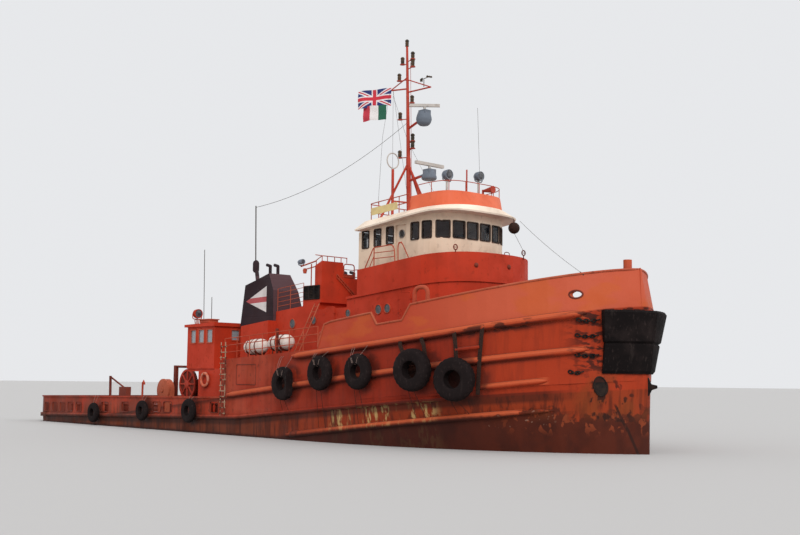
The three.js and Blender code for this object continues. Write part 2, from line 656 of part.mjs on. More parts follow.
// A door hung inside the wall; it slides aft
function slidingDoor(side) {
  const outer = side * (wheel.half - wallThickness - 8);
  const inner = outer - side * slideDoor.thick;
  const [y0, y1] = [Math.min(outer, inner), Math.max(outer, inner)];
  const piece = box(slideDoor.x0 - slideDoor.lap, y0, slideDoor.sill + 20, slideDoor.x1 + slideDoor.lap, y1,
    slideDoor.head + 20);
  return piece.subtract(
    bar([doorPort.x, y0 - 50, doorPort.z], [doorPort.x, y1 + 50, doorPort.z], doorPort.radius, 16));
}
add("wheelhouse_door_starboard", slidingDoor(-1), paint.cream);
add("wheelhouse_door_port", slidingDoor(1), paint.cream);
add("helm_console", union([
  prism([[9750, -1300], [10350, -1300], [10350, 1300], [9750, 1300]], wheelFoot, () => 7200),
  box(9900, -1300, 7150, 10350, 1300, 7400),
]), paint.grey);

// Roof with a brim, sloping up to a coaming that leans inwards round the front
const coaming = { aft: 8890, thick: 60 };
const roofTopAt = rake(9255, 0.062, foredeckKink);
const coamingTopAt = rake(9877, 0.047, foredeckKink);

function wheelhouseRoof() {
  const ring = (aft, shoulder, half, nose, power, height) => frontOutline(aft, shoulder, half, nose, power, 20)
    .map(([x, y]) => [x, y, height(x)]);
  const plate = loft([
    ring(6200, 9380, 2560, 1970, 3.39, brimAt),
    ring(6180, 9380, 2580, 1990, 3.39, (x) => brimAt(x) + 60),
    ring(6330, 9110, 2110, 2200, 2.6, roofTopAt),
  ]);
  const coamingWall = (inset, below, above) => loft([
    ring(7000, 9110, 2050 - inset, 2150 - inset, 2.6, (x) => roofTopAt(x) - below),
    ring(7000, 9250, 1860 - inset, 1690 - inset, 3.5, (x) => coamingTopAt(x) + above),
  ]);
  const wall = coamingWall(0, 100, 0).subtract(coamingWall(coaming.thick, 300, 200))
    .intersect(box(coaming.aft, -region.y, region.bottom, region.fore, region.y, region.top));
  return plate.add(wall);
}
add("wheelhouse_roof", wheelhouseRoof(), paint.hull);

// Trunk on the main house, behind the bridge: a long low block with the louvres, a higher one amidships
// and a tower each side
const trunk = {
  aft: 2980, middleAft: 3300, towerAft: 3800, fore: 4270, half: 2770, inner: 1590,
  low: 6480, middle: 6840, towerTop: [7320, 7500],
};
function deckTrunk() {
  const { aft, middleAft, towerAft, fore, half, inner, low, middle, towerTop } = trunk;
  const [aftTop, foreTop] = towerTop;
  const tower = [[towerAft, low - 50], [fore, low - 50], [fore, foreTop], [towerAft, aftTop]];
  return union([
    sidePlate([[aft, houseTopAt(aft) + fitGap], [fore, houseTopAt(fore) + fitGap], [fore, low], [aft, low]],
      -half, half),
    box(middleAft, -inner, low - 50, fore, inner, middle),
    sidePlate(tower, -half, -inner), sidePlate(tower, inner, half),
  ]);
}
add("deck_trunk", deckTrunk(), paint.house);

// Mast and what it carries
const mast = { foot: [6750, 0, 8900], top: [6500, 0, 17150], joint: 12000 };
const radars = { // seat is the top of the turning unit that the scanner stands on
  lower: { x: 7990, z: 11540, length: 1600, deep: 140, high: 130, seat: 11330, turned: 0 },
  upper: { x: 7660, z: 14150, length: 1300, deep: 130, high: 120, seat: 13940, turned: -42 },
};
const mastX = (z) => mast.foot[0]
  + ((mast.top[0] - mast.foot[0]) * (z - mast.foot[2])) / (mast.top[2] - mast.foot[2]);
const onMast = (z, out = 0) => [mastX(z) + out, 0, z];
const aerial = { x: 6520, y: -770, top: 11480, loop: 11800, loopRadius: 330 };

const mastBars = [ // from, to, radius
  [onMast(11000), [7990, 0, 11180], 60],
  [onMast(13300), [7660, 0, 13650], 55],
  [onMast(11700), [8300, 0, 8900], 55],
  [onMast(15500), [8030, 0, 14890], 25],
  [onMast(14930), [8030, 0, 14890], 35],
  [onMast(15600), [5450, 0, 15220], 25],
  [onMast(15090), [5450, 0, 15220], 35],
];

function mastWhole() {
  const pieces = [
    bar(mast.foot, onMast(mast.joint), 105, 12),
    bar(onMast(mast.joint - 100), mast.top, 90, 12, 50),
    box(7790, -200, 11100, 8190, 200, radars.lower.seat),
    box(7460, -180, 13600, 7860, 180, radars.upper.seat),
    ...mastBars.map(([from, to, radius]) => bar(from, to, radius, 8)),
  ];
  for (const side of [-1, 1]) pieces.push(bar(onMast(11800), [6420, side * 1600, 8850], 50, 8));
  pieces.push(bar([aerial.x, aerial.y, 8900], [aerial.x, aerial.y, aerial.top], 60, 10));
  pieces.push(bar([aerial.x, aerial.y, 10050], onMast(10050), 35, 8));
  const loop = new THREE.TorusGeometry(aerial.loopRadius, 28, 8, 20).rotateY(Math.PI / 2);
  pieces.push(solid(loop.translate(aerial.x, aerial.y, aerial.loop)));
  return union(pieces);
}
const belowRoofTop = sidePlate([[5000, 8000], [9000, 8000], [9000, roofTopAt(9000) + fitGap],
  [5000, roofTopAt(5000) + fitGap]], -3000, 3000);
add("mast", mastWhole().subtract(belowRoofTop), paint.house);

// Lamps and horn on the wheelhouse roof, inside the coaming
const roofLamps = [ // x, y, height of the lamp's axis, radius
  [10270, -1200, 10630, 165], [10380, 500, 10780, 150],
];
function lampStands() {
  const pieces = [box(10080, -1280, 8900, 10520, 900, 9400)];
  for (const [x, y, z, radius] of roofLamps) {
    pieces.push(bar([x, y, 9200], [x, y, z - radius / 2], 45, 10));
    pieces.push(bar([x - 130, y, z], [x + 130, y, z], radius, 16));
  }
  pieces.push(bar([10400, -200, 9200], [10400, -200, 10960], 30, 8));
  pieces.push(bar([10400, 750, 9200], [10400, 750, 10250], 45, 8));
  pieces.push(bar([10400, 750, 10200], [10980, 750, 10200], 40, 10, 150));
  return union(pieces).subtract(sidePlate([[9500, 8000], [11000, 8000], [11000, roofTopAt(11000) + fitGap],
    [9500, roofTopAt(9500) + fitGap]], -3000, 3000));
}
add("roof_lamps", lampStands(), paint.white);

const turningGap = 5;
function scanner({ x, z, length, deep, high, seat, turned }) {
  const beam = new THREE.BoxGeometry(deep, length, high).rotateZ(THREE.MathUtils.degToRad(turned));
  return solid(beam.translate(x, 0, z)).add(bar([x, 0, seat + turningGap], [x, 0, z], 60, 12));
}
for (const [name, radar] of Object.entries(radars)) add(`radar_scanner_${name}`, scanner(radar), paint.grey);

// Tow winch under the control cabin's windows, its axis athwartships, a brake wheel at each end
const winch = {
  x: -6510, z: 2150, half: 1400, flange: 760, flangeThick: 90, barrel: 330, shaft: 110, shaftEnd: 2680,
  wheelFrom: 2520, wheelTo: 2640, cheek: 2100, cheekThick: 160,
};
const gallows = { x: -7720, half: 2600, top: 3080, beamEnd: -6900, legLong: 200, legWide: 160 };
const towGuide = { x: -7900, halfLength: 560, y0: -3150, y1: -2880, axis: 1830, foot: 1180 };
const winchBed = { aft: -8950, fore: -5450, half: 2750, thick: 90 };
function winchDrum() {
  const across = (y0, y1, radius, sides) => bar([winch.x, y0, winch.z], [winch.x, y1, winch.z], radius, sides);
  const pieces = [
    across(-winch.half, winch.half, winch.barrel, 24),
    across(-winch.shaftEnd, winch.shaftEnd, winch.shaft, 16),
  ];
  for (const side of [-1, 1]) {
    pieces.push(across(side * winch.half, side * (winch.half - winch.flangeThick), winch.flange, 24));
    pieces.push(across(side * winch.wheelFrom, side * winch.wheelTo, winch.flange, 24));
  }
  return union(pieces);
}
add("winch_drum", winchDrum(), paint.steel);

function winchFrame() {
  const bedTop = aftDeckAt(winchBed.fore) + winchBed.thick;
  const pieces = [
    box(winchBed.aft, -winchBed.half, 0, winchBed.fore, winchBed.half, bedTop),
    box(towGuide.x - towGuide.halfLength, towGuide.y0, 0, towGuide.x + towGuide.halfLength, towGuide.y1,
      towGuide.axis),
    box(towGuide.x - towGuide.halfLength, towGuide.y0, 0, winchBed.fore, -winchBed.half + 20, towGuide.foot),
    bar([towGuide.x, towGuide.y0, towGuide.axis], [towGuide.x, towGuide.y1, towGuide.axis],
      towGuide.halfLength, 24),
    bar([gallows.x, -gallows.half, gallows.top - 60], [gallows.x, gallows.half, gallows.top - 60], 60, 8),
  ];
  for (const side of [-1, 1]) {
    const ys = [side * winch.cheek, side * (winch.cheek + winch.cheekThick)].sort((a, b) => a - b);
    const cheek = sidePlate([[winch.x - 750, bedTop - 20], [winch.x + 750, bedTop - 20],
      [winch.x + 250, winch.z + 250], [winch.x - 250, winch.z + 250]], ...ys);
    pieces.push(cheek.subtract(
      bar([winch.x, ys[0] - 50, winch.z], [winch.x, ys[1] + 50, winch.z], winch.shaft + 6, 16)));
    pieces.push(box(gallows.x - gallows.legLong / 2, side * gallows.half - gallows.legWide / 2, 0,
      gallows.x + gallows.legLong / 2, side * gallows.half + gallows.legWide / 2, gallows.top));
    pieces.push(bar([gallows.x, side * gallows.half, gallows.top - 60],
      [gallows.beamEnd, side * gallows.half, gallows.top - 60], 50, 8));
  }
  return union(pieces);
}
add("winch_frame", standingOn(hullTopAt, winchFrame()), paint.steel);

// Stern post with its stay, and the bitts it is stayed to
add("stern_bitts", standingOn(hullTopAt, union([
  bar([-17600, -1000, 0], [-17700, -1000, 2540], 75, 10),
  bar([-17700, -1000, 2490], [-16000, -1000, 1880], 50, 8),
  box(-16350, -1150, 0, -15500, -850, 1930),
  box(-17800, -1200, 0, -15300, -800, aftDeckAt(-15300) + 60),
])), paint.steel);

// Life rafts in their racks, on the raised deck
const raft = { y: -4300, radius: 315, cradle: 260, post: { x: 3800, y: -4700, radius: 70, top: 4540 } };
function rafts() {
  const { y, post } = raft;
  const pieces = [];
  for (const [x0, x1, z] of [[1300, 2380, 3810], [3080, 4230, 3950]]) {
    pieces.push(bar([x0, y, z - 20], [x1, y, z + 40], raft.radius, 16));
    for (const x of [x0 + raft.cradle, x1 - raft.cradle]) {
      pieces.push(box(x - 50, y - raft.radius, 3000, x + 50, y + raft.radius, z - 120));
    }
  }
  pieces.push(box(1450, y - 40, 3000, 4100, y + 40, raisedDeckAt(4100) + 60));
  pieces.push(box(post.x - 50, post.y - 50, 3000, post.x + 50, y, raisedDeckAt(post.x) + 80));
  pieces.push(bar([post.x, post.y, 3000], [post.x, post.y, post.top], post.radius, 10));
  return union(pieces);
}
const raftRack = standingOn(raisedDeckAt, rafts());
add("life_rafts_starboard", raftRack, paint.white);
add("life_rafts_port", mirrored(raftRack), paint.white);

// Windlass and bow bitt on the foredeck
const deckAtWindlass = raisedDeckAt(16200) + 20;
add("windlass", standingOn(raisedDeckAt, union([
  box(15300, -900, deckAtWindlass - 200, 16200, 900, deckAtWindlass + 120),
  bar([15750, -1200, deckAtWindlass + 450], [15750, 1200, deckAtWindlass + 450], 130, 16),
  bar([15750, -500, deckAtWindlass + 450], [15750, 500, deckAtWindlass + 450], 300, 20),
  bar([15750, -1200, deckAtWindlass + 450], [15750, -950, deckAtWindlass + 450], 220, 16),
  bar([15750, 950, deckAtWindlass + 450], [15750, 1200, deckAtWindlass + 450], 220, 16),
  box(15550, -750, deckAtWindlass, 15950, -600, deckAtWindlass + 600),
  box(15550, 600, deckAtWindlass, 15950, 750, deckAtWindlass + 600),
])), paint.steel);
add("bow_bitt", standingOn(raisedDeckAt, union([
  bar([18140, 0, raisedDeckAt(18140) - 20], [18140, 0, 6720], 150, 14),
  box(17950, -230, raisedDeckAt(17950) - 20, 18350, 230, raisedDeckAt(18350) + 60),
])), paint.house);

// Screws and rudders
function propeller(side) {
  const y = side * screw.y;
  const half = screw.hubLength / 2;
  const pieces = [bar([screw.x - half, y, screw.z], [screw.x + half, y, screw.z], screw.hubRadius, 16, 170)];
  for (let i = 0; i < 4; i += 1) {
    const shape = new THREE.Shape();
    shape.moveTo(-70, 100);
    shape.bezierCurveTo(-330, 450, -330, 950, 0, screw.radius);
    shape.bezierCurveTo(330, 950, 330, 450, 70, 100);
    const blade = new THREE.ExtrudeGeometry(shape, { depth: 36, bevelEnabled: false, curveSegments: 8 });
    blade.translate(0, 0, -18).rotateY(THREE.MathUtils.degToRad(90 + side * 32));
    blade.rotateX((Math.PI / 2) * i).translate(screw.x, y, screw.z);
    pieces.push(solid(blade));
  }
  return union(pieces);
}
function rudderBlade(side) {
  const y = side * screw.y;
  const { axis, fore, aft, top, bottom, thick } = rudder;
  const outline = [
    [axis + fore, 0], [axis + fore * 0.6, thick * 0.42], [axis, thick / 2], [axis - aft, 15],
    [axis - aft, -15], [axis, -thick / 2], [axis + fore * 0.6, -thick * 0.42],
  ].map(([x, w]) => [x, y + w]);
  return prism(outline, () => bottom, () => top).add(bar([axis, y, top - 200], [axis, y, rudder.stockTop], 75, 12));
}
for (const [label, side] of [["starboard", -1], ["port", 1]]) {
  add(`propeller_${label}`, propeller(side), paint.bronze);
  add(`rudder_${label}`, rudderBlade(side), paint.hull);
}

export default tug;
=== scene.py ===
import bmesh
import bpy
import numpy as np
from mathutils import Matrix, Vector


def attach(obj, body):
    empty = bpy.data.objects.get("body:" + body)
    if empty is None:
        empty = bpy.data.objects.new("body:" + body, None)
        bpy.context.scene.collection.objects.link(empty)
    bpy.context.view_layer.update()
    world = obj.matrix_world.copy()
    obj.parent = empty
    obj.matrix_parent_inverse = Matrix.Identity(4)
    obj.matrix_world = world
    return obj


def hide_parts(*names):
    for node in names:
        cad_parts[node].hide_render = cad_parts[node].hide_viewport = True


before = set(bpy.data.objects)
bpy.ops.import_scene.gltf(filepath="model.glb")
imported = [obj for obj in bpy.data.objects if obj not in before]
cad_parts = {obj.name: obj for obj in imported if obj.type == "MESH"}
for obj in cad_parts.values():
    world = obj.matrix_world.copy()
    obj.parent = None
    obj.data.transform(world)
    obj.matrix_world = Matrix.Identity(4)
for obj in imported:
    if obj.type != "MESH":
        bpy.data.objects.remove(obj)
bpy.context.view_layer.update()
scene = bpy.context.scene


# Camera, floor and light

cameraAt = Vector((41.639, -31.920, 2.381))
cameraAxes = {"right": (0.66988, 0.74240, 0.01024), "up": (0.06903, -0.07601, 0.99471),
              "back": (0.73926, -0.66563, -0.10216)}
lensView = {"lens": 50, "sensor": 36}

cameraData = bpy.data.cameras.new("camera")
cameraData.lens = lensView["lens"]
cameraData.sensor_width = lensView["sensor"]
cameraData.clip_end = 3000
camera = bpy.data.objects.new("camera", cameraData)
turnMatrix = Matrix([cameraAxes["right"], cameraAxes["up"], cameraAxes["back"]]).transposed()
camera.matrix_world = Matrix.Translation(cameraAt) @ turnMatrix.to_4x4()
scene.collection.objects.link(camera)
scene.camera = camera

studio = {
    "sky": (0.80, 0.81, 0.83), "skyStrength": 1.0,
    "floor": (0.50, 0.49, 0.48), "floorRings": (0, 60, 300, 900),
    "key": {"energy": 1.7, "angle": 30.0, "toward": (-0.72, 0.48, -0.62)},
    "fill": {"energy": 0.5, "angle": 60.0, "toward": (-0.55, -0.60, -0.50)},
}


# Surfaces worked out as whole arrays: each shape is a pair (points, list of face arrays)

def floats(values):
    return np.asarray(values, float)


def xyz(x, y, z):
    return np.stack(np.broadcast_arrays(x, y, z), -1)


def unit(vectors):
    return vectors / np.maximum(np.linalg.norm(vectors, axis=-1, keepdims=True), 1e-9)


def turn(count):
    return np.linspace(0, 2 * np.pi, count, endpoint=False)


def grid(points, roundU=False, roundV=False, capU=False):
    # Quads between neighbours of points[i, j]; a round direction joins its end to its start,
    # capU shuts the first and the last row with one face each
    countU, countV = points.shape[:2]
    i, j = np.meshgrid(np.arange(countU - 1 + roundU), np.arange(countV - 1 + roundV), indexing="ij")
    nextI, nextJ = (i + 1) % countU, (j + 1) % countV
    faces = [np.stack([i * countV + j, nextI * countV + j, nextI * countV + nextJ, i * countV + nextJ],
                      -1).reshape(-1, 4)]
    if capU:
        row = np.arange(countV)
        faces += [row[None, ::-1], row[None] + (countU - 1) * countV]
    return points.reshape(-1, 3), faces


def joined(shapes):
    shapes = list(shapes)
    starts = np.cumsum([0] + [len(points) for points, _ in shapes])
    return (np.concatenate([points for points, _ in shapes]),
            [face + start for (_, faces), start in zip(shapes, starts) for face in faces])


def mirrored(shape):
    return shape[0] * [1, -1, 1], shape[1]


def bothSides(shapes):
    shape = joined(shapes)
    return [shape, mirrored(shape)]


def sweep(path, section, closed=False, scale=1.0, upright=None):
    # A section (a, b) carried along a path: point = p + a n + b m. m is the path's own flat
    # direction, or upright, squared to the path; n is square to both and widened at the bends
    path = floats(path)
    section = floats(section)
    if closed:
        before, after = path - np.roll(path, 1, 0), np.roll(path, -1, 0) - path
    else:
        steps = np.diff(path, axis=0)
        before, after = np.concatenate([steps[:1], steps]), np.concatenate([steps, steps[-1:]])
    before, after = unit(before), unit(after)
    along = unit(before + after)
    if upright is None:
        upright = np.linalg.svd(path - path.mean(0))[2][2]
    upright = floats(upright)
    m = unit(upright - (along @ upright)[:, None] * along)
    n = np.cross(m, along)
    widen = 1 / np.clip((before * along).sum(-1), 0.4, 1)
    scale = np.broadcast_to(scale, len(path))[:, None, None]
    a, b = section[None, :, :1], section[None, :, 1:]
    points = path[:, None] + scale * (a * (n * widen[:, None])[:, None] + b * m[:, None])
    return grid(points, roundU=closed, roundV=True, capU=not closed)


def circle(radius, sides=8):
    return np.stack([np.cos(turn(sides)), np.sin(turn(sides))], -1) * radius


def tube(path, radius, sides=8, closed=False, scale=1.0):
    return sweep(path, circle(radius, sides), closed, scale)


def hoop(path, radius, sides=6):
    return tube(path, radius, sides, closed=True)


def rods(starts, ends, radius, sides=6):
    # Straight round bars, all at once: point = start or end + r (cos v n + sin v m)
    starts, ends = np.atleast_2d(floats(starts)), np.atleast_2d(floats(ends))
    along = unit(ends - starts)
    helper = np.where(np.abs(along[:, 2:]) > 0.9, [[1.0, 0, 0]], [[0, 0, 1.0]])
    n = unit(np.cross(along, helper))
    m = np.cross(along, n)
    v = turn(sides)[None, :, None]
    ring = radius * (np.cos(v) * n[:, None] + np.sin(v) * m[:, None])
    points = np.stack([starts[:, None] + ring, ends[:, None] + ring], 1)
    base = np.arange(len(starts))[:, None] * 2 * sides
    j = np.arange(sides)
    quads = np.stack([j, sides + j, sides + (j + 1) % sides, (j + 1) % sides], -1)
    return points.reshape(-1, 3), [(base[:, :, None] + quads[None]).reshape(-1, 4),
                                   base + j[::-1], base + sides + j]


def lathe(profile, centre, axis=(0, 0, 1), steps=20, closed=False):
    # A profile (r, h) spun about an axis: point = centre + h k + r (cos u n + sin u m)
    profile = floats(profile)
    k = unit(floats(axis))
    n = unit(np.cross(k, [1.0, 0, 0] if abs(k[2]) > 0.9 else [0, 0, 1.0]))
    m = np.cross(k, n)
    u = turn(steps)[:, None]
    ring = np.cos(u) * n + np.sin(u) * m
    points = (floats(centre) + profile[None, :, 1:] * k
              + profile[None, :, :1] * ring[:, None])
    return grid(points, roundU=True, roundV=closed)


def block(low, high, crisp=9.0, steps=(24, 13)):
    # A box with rounded edges, a superellipsoid: each coordinate is its half size times
    # sign(s) |s|^(2/crisp) of a sphere's coordinate
    low, high = floats(low), floats(high)
    u, v = turn(steps[0])[:, None], np.linspace(-np.pi / 2, np.pi / 2, steps[1])[None]
    soft = lambda s: np.sign(s) * np.abs(s) ** (2 / crisp)
    ball = np.stack([soft(np.cos(u)) * soft(np.cos(v)), soft(np.sin(u)) * soft(np.cos(v)),
                     soft(np.sin(v)) * np.ones_like(u)], -1)
    return grid((low + high) / 2 + ball * (high - low) / 2, roundU=True)


def laid(outline, origin, across, up=(0, 0, 1)):
    # A flat outline (a, b) in space: point = origin + a across + b up
    outline = floats(outline)
    return floats(origin) + outline[:, :1] * across + outline[:, 1:] * up


def plate(outline, origin, across, up, thick):
    # The same with a thickness: point = origin + a across + b up + t (across x up)
    flat = laid(outline, origin, across, up)
    return grid(np.stack([flat, flat + thick * np.cross(across, up)]), roundV=True, capU=True)


def rounded(corners, radius, steps=5, closed=False):
    # A path whose corners are short curves: p(t) = (1-t)^2 a + 2t(1-t) corner + t^2 b
    corners = floats(corners)
    toBack, toNext = np.roll(corners, 1, 0) - corners, np.roll(corners, -1, 0) - corners
    reach = lambda side: unit(side) * np.minimum(radius, np.linalg.norm(side, axis=1, keepdims=True) / 2)
    a, b = corners + reach(toBack), corners + reach(toNext)
    t = np.linspace(0, 1, steps)[None, :, None]
    curve = (1 - t) ** 2 * a[:, None] + 2 * t * (1 - t) * corners[:, None] + t * t * b[:, None]
    width = corners.shape[1]
    if closed:
        return curve.reshape(-1, width)
    return np.concatenate([corners[:1], curve[1:-1].reshape(-1, width), corners[-1:]])


def fourCorners(a, b):
    return [(-a, -b), (a, -b), (a, b), (-a, b)]


def roundedRectangle(width, height, radius, steps=5):
    return rounded(fourCorners(width / 2, height / 2), radius, steps, closed=True)


def spaced(path, gap):
    # Points along a path at even distances near gap, by interpolating over its arc length
    path = floats(path)
    reach = np.concatenate([[0], np.cumsum(np.linalg.norm(np.diff(path, axis=0), axis=1))])
    at = np.linspace(0, reach[-1], max(int(round(reach[-1] / gap)), 1) + 1)
    return np.stack([np.interp(at, reach, path[:, k]) for k in range(3)], -1)


def railing(path, heights, gap, radius=0.021, post=0.023):
    # Level rails above a foot path, with posts at even distances
    path = floats(path)
    feet = spaced(path, gap)
    lift = np.array([0, 0, heights[-1]])
    rails = [tube(path + [0, 0, height], radius, 6) for height in heights]
    return joined(rails + [rods(feet, feet + lift, post, 6)])


paints = {}


def makePiece(name, shapes, paint, slot, body="root", crease=38, bevel=0.0, replaces=()):
    points, faces = joined(shapes)
    corners = np.concatenate([face.ravel() for face in faces])
    sizes = np.concatenate([np.full(len(face), face.shape[1]) for face in faces])
    mesh = bpy.data.meshes.new(name)
    for part, count, key, values in ((mesh.vertices, len(points), "co", points.astype(np.float32)),
                                     (mesh.loops, len(corners), "vertex_index", corners.astype(np.int32)),
                                     (mesh.polygons, len(sizes), "loop_start",
                                      (np.cumsum(sizes) - sizes).astype(np.int32))):
        part.add(count)
        part.foreach_set(key, values.ravel())
    mesh.update(calc_edges=True)
    work = bmesh.new()
    work.from_mesh(mesh)
    bmesh.ops.remove_doubles(work, verts=work.verts, dist=1e-4)
    bmesh.ops.recalc_face_normals(work, faces=work.faces)
    work.to_mesh(mesh)
    work.free()
    mesh.polygons.foreach_set("use_smooth", np.ones(len(mesh.polygons), bool))
    mesh.set_sharp_from_angle(angle=np.radians(crease))
    mesh.materials.append(paints[paint])
    piece = bpy.data.objects.new(name, mesh)
    scene.collection.objects.link(piece)
    if bevel:
        edge = piece.modifiers.new("edge", "BEVEL")
        edge.width, edge.segments, edge.limit_method = bevel, 2, "ANGLE"
    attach(piece, body)
    if replaces:
        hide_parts(*replaces)
    return piece


def makePair(name, shapes, *look, **more):
    # The starboard shapes and their mirror image as one piece
    return makePiece(name, bothSides(shapes), *look, **more)


# Shader maths: arithmetic on a Value adds Math nodes, and any other node comes from Finish.node

class Value:
    def __init__(self, finish, socket):
        self.finish, self.socket = finish, socket

    def math(self, operation, *others, first=None):
        inputs = [self, *others] if first is None else [first, self]
        return self.finish.node("ShaderNodeMath", {"operation": operation}, dict(enumerate(inputs)))

    __add__ = __radd__ = lambda self, other: self.math("ADD", other)
    __mul__ = __rmul__ = lambda self, other: self.math("MULTIPLY", other)
    __sub__ = lambda self, other: self.math("SUBTRACT", other)
    __rsub__ = lambda self, other: self.math("SUBTRACT", first=other)
    __truediv__ = lambda self, other: self.math("DIVIDE", other)
    __pow__ = lambda self, other: self.math("POWER", other)
    __gt__ = lambda self, other: self.math("GREATER_THAN", other)
    __lt__ = lambda self, other: self.math("LESS_THAN", other)
    __abs__ = lambda self: self.math("ABSOLUTE")
    least = lambda self, other: self.math("MINIMUM", other)
    most = lambda self, other: self.math("MAXIMUM", other)

    def ramp(self, low, high):
        # 0 below low, 1 above high and a smooth change between, or the other way round
        return self.finish.node("ShaderNodeMapRange", {"interpolation_type": "SMOOTHSTEP"},
                                {0: self, 1: low, 2: high})


class Finish:
    def __init__(self, name):
        self.name, self.material = name, bpy.data.materials.new(name)
        self.material.use_nodes = True
        self.tree = self.material.node_tree
        self.tree.nodes.clear()
        self.place = self.node("ShaderNodeTexCoord", output=3)
        self.x, self.y, self.z = (self.split(self.place, k) for k in range(3))

    def node(self, kind, settings=None, inputs=None, output=0):
        made = self.tree.nodes.new(kind)
        for key, value in (settings or {}).items():
            setattr(made, key, value)
        for key, value in (inputs or {}).items():
            if isinstance(value, Value):
                self.tree.links.new(value.socket, made.inputs[key])
            else:
                made.inputs[key].default_value = value
        return Value(self, made.outputs[output])

    def split(self, vector, k):
        return self.node("ShaderNodeSeparateXYZ", inputs={0: vector}, output=k)

    def facing(self, k):
        # One coordinate of the surface's normal
        return self.split(self.node("ShaderNodeNewGeometry", output=1), k)

    def noise(self, scale, flat=1, detail=3.0, offset=0.0):
        moved = self.node("ShaderNodeMapping", inputs={0: self.place, 1: (offset,) * 3, 3: (1, 1, flat)})
        return self.node("ShaderNodeTexNoise", inputs={"Vector": moved, "Scale": scale, "Detail": detail})

    def mix(self, factor, first, second):
        full = lambda colour: colour if isinstance(colour, Value) else (*colour, 1.0)
        return self.node("ShaderNodeMix", {"data_type": "RGBA"},
                         {0: factor, 6: full(first), 7: full(second)}, output=2)

    def layers(self, base, *coats):
        # coats are (mask, colour) pairs laid one over the other
        for mask, colour in coats:
            base = self.mix(mask, base, colour)
        return base

    def done(self, colour, roughness=0.6, metallic=0.0, height=None, depth=0.01, **fixed):
        inputs = {"Base Color": colour if isinstance(colour, Value) else (*colour, 1.0),
                  "Roughness": roughness, "Metallic": metallic, "Specular IOR Level": 0.1}
        if height is not None:
            inputs["Normal"] = self.node("ShaderNodeBump", inputs={"Strength": 1.0, "Distance": depth,
                                                                   "Height": height})
        inputs.update({key.replace("_", " "): value for key, value in fixed.items()})
        shader = self.node("ShaderNodeBsdfPrincipled", inputs=inputs)
        out = self.tree.nodes.new("ShaderNodeOutputMaterial")
        self.tree.links.new(shader.socket, out.inputs[0])
        paints[self.name] = self.material
        return self.material


# The hull's own lines, the same as the model's

deck = {"half": 4.914, "shoulder": 7.72, "tip": 18.93, "stern": -19.6, "corner": 2.1}
kinkX = 9.45


def bowHalf(x, half, shoulder, tip, n, m):
    # Half breadth that closes to a point at the bow: w (1 - t^n)^(1/m)
    t = np.clip((x - shoulder) / (tip - shoulder), 0, 1)
    return half * (1 - t ** n) ** (1 / m)


def sternHalf(x, half, end, corner):
    t = np.clip((end + corner - x) / corner, 0, 1)
    return half - corner * (1 - np.sqrt(1 - t * t))


def deckHalf(x, inset=0.0):
    return np.minimum(bowHalf(x, deck["half"] - inset, deck["shoulder"], deck["tip"] - inset, 2.737, 1.5),
                      sternHalf(x, deck["half"] - inset, deck["stern"] + inset, deck["corner"] - inset))


def knuckleHalf(x):
    return np.minimum(bowHalf(x, deck["half"], deck["shoulder"], 18.95, 2.737, 1.22),
                      sternHalf(x, deck["half"], deck["stern"], deck["corner"]))


def waterHalf(x):
    t = np.clip((-17.43 - x) / 2.15, 0, 1)
    return np.minimum(bowHalf(x, 4.89, 5.75, 18.95, 2.3, 1.15), 4.89 * (0.55 + 0.45 * np.sqrt(1 - t * t)))


def hullLine(height, slope, start=kinkX, curve=0.0, bend=0.0):
    # height + slope (x - start) + bend k + curve k^2, k = x - kinkX or 0, of arrays and shader values
    def at(x):
        k = (x - kinkX).most(0.0) if isinstance(x, Value) else np.maximum(x - kinkX, 0)
        return (x - start) * slope + height + k * bend + k * k * curve
    return at


aftDeckAt = hullLine(0.915, 0.022, 0)
raisedDeckAt = hullLine(3.27, 0.053, 0, 0.0053, 0.031)
topRailAt = hullLine(3.69, 0.084, curve=0.0053)
secondRailAt = hullLine(2.581, 0.097, curve=0.0021)
thirdRailAt = hullLine(2.285, 0.13, 15.3)
lowRailAt = hullLine(0.19, 0.107, 4.88)
rubAftAt, rubForeAt = hullLine(0.765, 0.021, 0), hullLine(0.791, 0.084, 1.25)
bulwarkTopAt = hullLine(4.9, 0.107, curve=0.0056)
aftBulwarkTopAt = hullLine(1.65, 0.0125, 0)
houseTopAt = hullLine(5.36, 0.082, 0)
roofTopAt = hullLine(9.255, 0.062)
coamingTopAt = hullLine(9.877, 0.047)
sillAt, headAt = hullLine(8.004, 0.037), hullLine(8.688, 0.029)


def sideHalf(x, z):
    x, z = floats(x), floats(z)
    knuckle = 0.915 + np.where(x < 0, 0.022, 0.084) * x
    low = np.clip(z / knuckle, 0, 1)
    high = np.clip((z - knuckle) / (raisedDeckAt(x) - knuckle), 0, 1)
    return waterHalf(x) * (1 - low) + knuckleHalf(x) * (low - high) + deckHalf(x) * high


def onSide(x, z, out=0.0):
    # A point on the starboard side of the hull, standing out by a distance
    return xyz(x, -(sideHalf(x, z) + out), z)


def frontOutline(shoulder, half, nose, power, count):
    # A superellipse front: x = shoulder + nose cos^(2/n), y = half sin^(2/n)
    t = np.pi * np.linspace(-0.5, 0.5, count)
    return np.stack([shoulder + nose * np.abs(np.cos(t)) ** (2 / power),
                     half * np.sign(t) * np.abs(np.sin(t)) ** (2 / power)], -1)


# Finishes

